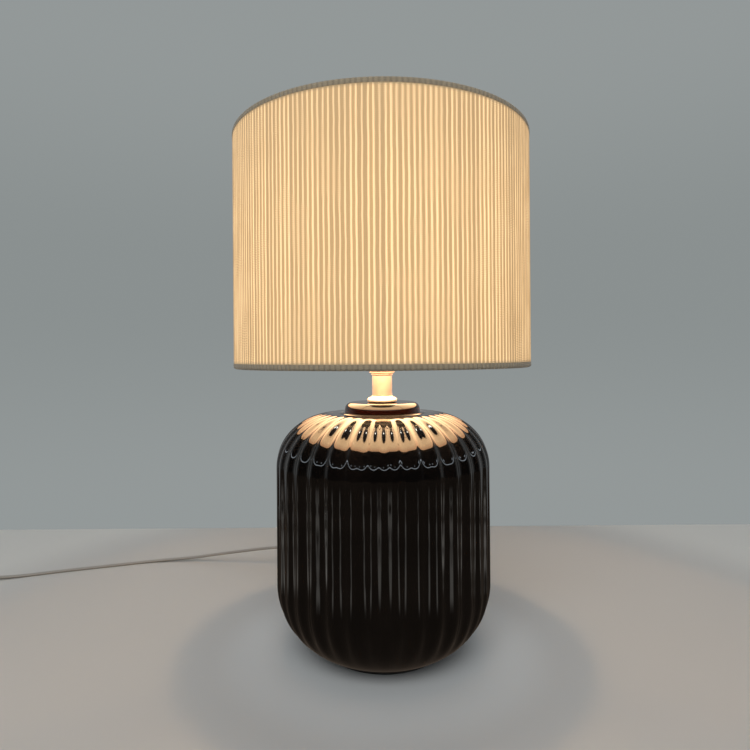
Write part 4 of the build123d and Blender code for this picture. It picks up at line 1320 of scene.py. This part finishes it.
@dataclass
class DrumShade(Assembly):
    """Drum shade: corded fabric on a liner, folded round a wire at each edge."""

    cords: int = 204
    across: int = 6
    rows: int = 34
    cord_height: float = 0.00055
    skin: float = 0.1247
    fold: float = 0.0042
    fold_outer: float = 0.12535
    fold_inner: float = 0.1205
    fold_drop: float = 0.0017
    fold_skin: float = 0.00035
    sway: float = 0.00022

    def _relief(self, share: float) -> float:
        """Height of the fabric at a share across a cord."""
        side = abs(2 * share - 1)
        return self.cord_height * (1 - side**3)

    def _cover(self, low: float, high: float, inside: float) -> bmesh.types.BMesh:
        """Corded cover between its edges.

        Args:
            low: Height of its lower edge.
            high: Height of its upper edge.
            inside: Radius of its back.

        Returns:
            The cover's mesh.
        """
        outline = [(self.skin, low + (high - low) * row / self.rows) for row in range(self.rows + 1)]
        outside = len(outline)
        outline += [(inside, high), (inside, low)]

        def place(row: int, share: float) -> Station:
            """Find a point of the cover.

            Args:
                row: Index in the outline.
                share: Place across the cord, from 0 to 1.

            Returns:
                Its radius and height.
            """
            radius, height = outline[row]
            if row >= outside:
                return radius, height
            return radius + self._relief(share), height

        shape = ribbed_ring(outline, self.cords, self.across, place)
        for corner in shape.verts:
            reach = math.hypot(corner.co.x, corner.co.y)
            if reach < inside + 0.0003:
                continue
            spot = Vector((corner.co.x * 60, corner.co.y * 60, corner.co.z * 35))
            shift = noise.noise(spot) * self.sway / reach
            corner.co = Matrix.Rotation(shift, 3, "Z") @ corner.co
        return shape

    def _edge(self, rim: float, inward: int) -> bmesh.types.BMesh:
        """Folded edge of the fabric round its wire.

        Args:
            rim: Height of the edge.
            inward: 1 where the shade lies above the edge, -1 where it lies below.

        Returns:
            The fold's mesh.
        """
        outer, inner, drop, thin = self.fold_outer, self.fold_inner, self.fold_drop, self.fold_skin
        centre = (outer + inner) / 2
        half = (outer - inner) / 2
        shoulder = self.fold * 0.7
        fold = [(outer - 0.0001, self.fold), (outer, shoulder)]
        fold += [
            (centre + half * math.cos(turn), drop - drop * math.sin(turn)) for turn in self._half_turn(9)
        ]
        fold += [(inner, shoulder), (inner, self.fold)]
        outside = len(fold)
        fold += [(inner + thin, self.fold), (inner + thin, drop)]
        fold += [
            (centre - (half - thin) * math.cos(turn), drop - (drop - thin) * math.sin(turn))
            for turn in self._half_turn(5)
        ]
        fold += [(outer - thin, self.fold)]

        def place(row: int, share: float) -> Station:
            """Find a point of the fold.

            Args:
                row: Index in the section.
                share: Place across the cord, from 0 to 1.

            Returns:
                Its radius and height.
            """
            radius, rise = fold[row]
            lift = 0.0
            if row < outside:
                lift = 0.5 * self._relief(share) * min(max((radius - inner) / half, 0), 1)
            outwards = (radius - centre) / half
            height = rise - lift * (1 - abs(outwards)) * (1 if rise < drop else 0)
            return radius + lift * max(outwards, 0) * 0.6, rim + inward * height

        return ribbed_ring(fold, self.cords, self.across, place)

    @staticmethod
    def _half_turn(steps: int) -> list[float]:
        """Angles of a half turn, ends included."""
        return [math.pi * index / steps for index in range(steps + 1)]

    def build(self) -> None:
        """Make the cover and both folded edges, and dress the frame and the liner."""
        low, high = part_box("shade_cover")
        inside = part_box("shade_liner")[1].x
        bottom_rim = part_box("shade_bottom_trim")[0].z
        top_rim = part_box("shade_top_trim")[1].z
        rows = (
            ("fabric_cover", self._cover(low.z + 0.0006, high.z - 0.0006, inside), "shade_cover"),
            ("fabric_edge_bottom", self._edge(bottom_rim, 1), "shade_bottom_trim"),
            ("fabric_edge_top", self._edge(top_rim, -1), "shade_top_trim"),
        )
        for name, shape, node in rows:
            lit = node == "shade_cover"
            fabric = self.finishes.fabric_lit if lit else self.finishes.fabric_folded
            slot = "shade_fabric" if lit else "trim_fabric"
            self.shop.piece(name, shape, fabric, slot, [node], Body.SHADE, CLOTH_ANGLE)
        self.shop.paint(self.finishes.liner, "shade_liner")
        powder = self.finishes.powder
        self.shop.paint(powder, "shade_fitter", "shade_spokes", "shade_bottom_wire", "shade_top_wire")


@dataclass
class Fittings(Assembly):
    """What is on the flex: bushing, in-line switch, strap and plug."""

    def build(self) -> None:
        """Dress the pieces."""
        paint = self.shop.paint
        housings = ("cable_bushing", "switch_base", "switch_cover", "plug_body", "plug_sleeves")
        paint(self.finishes.fitting, *housings)
        paint(self.finishes.rocker, "switch_rocker")
        paint(self.finishes.zinc, "switch_screws")
        paint(self.finishes.contact_brass, "switch_contacts")
        paint(self.finishes.strap, "coil_tie")
        paint(self.finishes.pins, "plug_pins")


@dataclass(frozen=True)
class FlatLamp:
    """Flat soft lamp."""

    name: str
    sides: Station
    power: float
    colour: Colour
    hidden_from: tuple[str, ...] = ("glossy",)
    shape: str = "RECTANGLE"

    def hang(self, where: Matrix) -> bpy.types.Object:
        """Hang the lamp.

        Args:
            where: Its place and turn. It shines along its own -Z.

        Returns:
            The lamp's object.
        """
        lamp = bpy.data.lights.new(self.name, "AREA")
        lamp.shape = self.shape
        lamp.size, lamp.size_y = self.sides
        lamp.energy = self.power
        lamp.color = self.colour
        held = bpy.data.objects.new(self.name, lamp)
        held.matrix_world = where
        for ray in self.hidden_from:
            setattr(held, f"visible_{ray}", False)
        bpy.context.scene.collection.objects.link(held)
        return held


@dataclass
class Studio:
    """Table, background, room light and the lamp's own light."""

    table_colour: Colour = (0.52, 0.515, 0.50)
    # Painted light: the table is lighter far from the lamp and at its foot, in the lamp's shadow.
    table_far_painted_light: Colour = (0.66, 0.655, 0.62)
    table_near_painted_light: Colour = (0.58, 0.59, 0.585)
    table_half_width: float = 1.3
    table_back: float = 0.346
    table_front: float = -1.3
    wall_middle: Colour = (0.256, 0.280, 0.280)
    wall_ends: Colour = (0.292, 0.316, 0.316)
    room_colour: Colour = (0.27, 0.28, 0.29)
    mirrored_front: Colour = (0.010, 0.010, 0.011)
    mirrored_back: Colour = (0.30, 0.31, 0.31)
    mirrored_table: Colour = (0.085, 0.065, 0.050)
    mirrored_gleam: Colour = (1.05, 1.0, 0.92)
    rail_light: Colour = (4.6, 5.2, 5.7)
    rail_lift: float = 0.346
    dots_lift: float = 0.44
    ceiling_light: Colour = (42.0, 40.0, 34.0)
    ceiling_ahead: float = 0.24
    bulb_height: float = 0.345
    bulb_colour: Colour = (1.0, 0.70, 0.42)
    bulb_strength: float = 6.5
    panel_aim: Point = (0, 0, 0.2)
    panel_colour: Colour = (0.97, 0.99, 1.0)
    liner_sides: int = 18
    liner_reach: float = 0.1212
    liner_strength: float = 11.5
    liner_bands: tuple[tuple[float, float, Colour], ...] = (
        (0.241, 0.262, (0.675, 0.346, 0.175)),
        (0.262, 0.284, (0.854, 0.497, 0.255)),
        (0.284, 0.434, (1.0, 0.62, 0.32)),
    )
    mouth: FlatLamp = FlatLamp(
        "shade_mouth_light", (0.225, 0.225), 0.8, (1.0, 0.87, 0.68), ("glossy", "camera"), "DISK"
    )
    mouth_height: float = 0.2385
    mouth_radius: float = 0.082
    mouth_shift: float = 0.032
    neck: tuple[str, ...] = ("neck_bell", "neck_pipe", "neck_plate", "neck_gasket", "ceramic_shell")

    def _table_top(self) -> bpy.types.Material:
        """Make the table's finish, with painted light at the lamp's foot and far from the lamp, which
        mirrors see with gleams round the lamp.

        Returns:
            The material.
        """
        shader = Shader.named("table_top")
        across, along, _ = shader.axes()
        reach = across * across + along * along
        tone_and_painted_light = shader.blend(self.table_colour, dimmed(self.table_colour, 0.96), shader.grain(5, 2))
        # Painted light: the table is lighter far from the lamp and lighter at its foot, where the lamp's
        # shadow falls.
        tone_and_painted_light = shader.blend(tone_and_painted_light, self.table_far_painted_light, reach.rise(0.36**2, 0.52**2))
        tone_and_painted_light = shader.blend(tone_and_painted_light, self.table_near_painted_light, reach.rise(0.15**2, 0.10**2))
        inputs = {"Base Color": tone_and_painted_light, "Roughness": 0.6, "Specular IOR Level": 0.1}
        seen = shader.node("ShaderNodeBsdfPrincipled", inputs=inputs)
        gleam = (across.turn_of(along) * 3).wave().size().rise(0.93, 1.0)
        gleam = gleam * reach.rise(0.20**2, 0.27**2) * reach.rise(0.85**2, 0.55**2)
        patchy = gleam * shader.grain(9, 1).rise(0.30, 0.62)
        picture = shader.blend(self.mirrored_table, self.mirrored_gleam, patchy)
        mirrored = shader.node("ShaderNodeEmission", inputs=[picture])
        glossy = shader.node("ShaderNodeLightPath", output="Is Glossy Ray")
        return shader.close(shader.node("ShaderNodeMixShader", inputs=[glossy, seen, mirrored]))

    def _table(self) -> None:
        """Make the table's top."""
        shape = bmesh.new()
        bmesh.ops.create_grid(shape, x_segments=1, y_segments=1, size=0.5)
        depth = self.table_back - self.table_front
        middle = (self.table_back + self.table_front) / 2
        bmesh.ops.scale(shape, vec=(2 * self.table_half_width, depth, 1), verts=shape.verts)
        bmesh.ops.translate(shape, vec=(0, middle, 0), verts=shape.verts)
        mesh = bpy.data.meshes.new("table")
        shape.to_mesh(mesh)
        shape.free()
        mesh.materials.append(self._table_top())
        table = bpy.data.objects.new("table", mesh)
        bpy.context.scene.collection.objects.link(table)

    def _mirrored_room(self, shader: Shader, across: Signal, along: Signal, upwards: Signal) -> Signal:
        """What mirrors show of the room: dim in front, a row of windows and a ceiling lamp.

        Args:
            shader: The world's tree.
            across: X of the direction.
            along: Y of the direction.
            upwards: Z of the direction.

        Returns:
            Its colour.
        """
        room = shader.blend(self.mirrored_front, self.mirrored_back, along.rise(-0.25, 0.55))
        ahead = along.rise(0.35, 0.0)
        rail = (upwards - self.rail_lift).size().rise(0.016, 0.006)
        dots = (upwards - self.dots_lift).size().rise(0.024, 0.010)
        dots = dots * (across * 9 + 0.4).wave().rise(0.90, 0.98)
        room = shader.blend(room, self.rail_light, (rail + dots) * ahead)
        away = across * across + (along - self.ceiling_ahead) * (along - self.ceiling_ahead)
        spot = away.rise(0.05**2, 0.03**2) * upwards.rise(0.0, 0.5)
        return shader.blend(room, self.ceiling_light, spot)

    def _world(self) -> None:
        """Give the room its even light, the background its colour and mirrors their room."""
        world = bpy.data.worlds.new("room")
        shader = Shader(world)
        way = shader.node("ShaderNodeTexCoord", output="Generated").parts()
        lift = (way[2] - 0.12).size().rise(0.03, 0.34)
        wall = shader.blend(self.wall_middle, self.wall_ends, lift)
        even, mirrored, behind = (
            shader.node("ShaderNodeBackground", inputs=[colour])
            for colour in (self.room_colour, self._mirrored_room(shader, *way), wall)
        )
        seen = shader.node("ShaderNodeLightPath", output="Is Camera Ray")
        glossy = shader.node("ShaderNodeLightPath", output="Is Glossy Ray")
        around = shader.node("ShaderNodeMixShader", inputs=[glossy, even, mirrored])
        shown = shader.node("ShaderNodeMixShader", inputs=[seen, around, behind])
        shader.close(shown, "ShaderNodeOutputWorld")
        bpy.context.scene.world = world

    @staticmethod
    def _light_only(lamp: bpy.types.Object, pieces: Iterable[str]) -> None:
        """Let a lamp light nothing but the named pieces.

        Args:
            lamp: The lamp.
            pieces: Names of what it lights.
        """
        lit = bpy.data.collections.new(f"lit_by_{lamp.name}")
        for piece in pieces:
            lit.objects.link(bpy.data.objects[piece])
        lamp.light_linking.receiver_collection = lit

    def _panels(self) -> None:
        """Hang two large soft panels over the front and the back."""
        rows = (
            ("front_panel", (-0.2, -1.5, 1.5), (1.6, 1.2), 21),
            ("back_panel", (0.3, 1.4, 1.6), (1.4, 1.4), 4),
        )
        for name, place, sides, power in rows:
            turned = (Vector(self.panel_aim) - Vector(place)).to_track_quat("-Z", "Y").to_matrix()
            FlatLamp(name, sides, power, self.panel_colour).hang(
                Matrix.Translation(place) @ turned.to_4x4()
            )

    def _bulb_light(self) -> None:
        """Light the table and the neck as the bulb does, down through the shade."""
        glow = bpy.data.lights.new("bulb_light", "POINT")
        glow.color = self.bulb_colour
        glow.shadow_soft_size = 0.01
        glow.energy = 1.0
        shader = Shader(glow)
        inputs = {"Strength": self.bulb_strength}
        even = shader.node("ShaderNodeLightFalloff", inputs=inputs, output="Constant")
        shader.close(shader.node("ShaderNodeEmission", inputs={"Strength": even}), "ShaderNodeOutputLight")
        held = bpy.data.objects.new("bulb_light", glow)
        held.location = (0, 0, self.bulb_height)
        held.visible_glossy = False
        bpy.context.scene.collection.objects.link(held)
        self._light_only(held, ["table"])
        self._light_only(self.mouth.hang(Matrix.Translation((0, 0, self.mouth_height))), self.neck)

    def _liner_panel(
        self, place: Vector, upright: Vector, back: Vector, sides: Station, colour: Colour
    ) -> None:
        """Hang a flat lamp that only mirrors see.

        Args:
            place: Its middle.
            upright: Direction of its height.
            back: Direction that it faces away from.
            sides: Its width and height.
            colour: Its colour.
        """
        power = math.pi * self.liner_strength * sides[0] * sides[1]
        turned = Matrix((upright.cross(back), upright, back)).transposed()
        lamp = FlatLamp("liner_light", sides, power, colour, ("camera", "diffuse", "transmission"))
        lamp.hang(Matrix.Translation(place) @ turned.to_4x4())

    def _liner_light(self) -> None:
        """Give mirrors the liner's real brightness, which is far over the picture's range."""
        upright = Vector((0, 0, 1))
        width = 2 * self.liner_reach * math.tan(math.pi / self.liner_sides)
        _, top, crown_colour = self.liner_bands[-1]
        for index in range(self.liner_sides):
            turn = FULL_TURN * (index + 0.5) / self.liner_sides
            outwards = Vector((math.cos(turn), math.sin(turn), 0))
            for low, high, colour in self.liner_bands:
                place = outwards * self.liner_reach + upright * (low + high) / 2
                self._liner_panel(place, upright, outwards, (width, high - low), colour)
            shift = self.mouth_shift * outwards.y
            inner = math.sqrt(shift**2 - self.mouth_shift**2 + self.mouth_radius**2) - shift
            middle = (self.liner_reach + inner) / 2
            sides = (width * middle / self.liner_reach, self.liner_reach - inner)
            self._liner_panel(outwards * middle + upright * top, outwards, upright, sides, crown_colour)

    def build(self) -> None:
        """Set the stage and light it."""
        self._table()
        self._world()
        self._panels()
        self._bulb_light()
        self._liner_light()
        bpy.context.scene.view_settings.view_transform = "Standard"


def main() -> None:
    """Build the camera, the flex, the lamp and the studio in order."""
    logging.basicConfig(level=logging.INFO, format="%(message)s")
    shop = Workshop(Finishes())
    CameraRig().build()
    for assembly in (FlatFlex, CeramicBody, Underside, BrassNeck, Lampholder, Bulb, DrumShade, Fittings):
        assembly(shop).build()
        LOG.info("%s built", assembly.__name__)
    Studio().build()


if __name__ == "__main__":
    main()
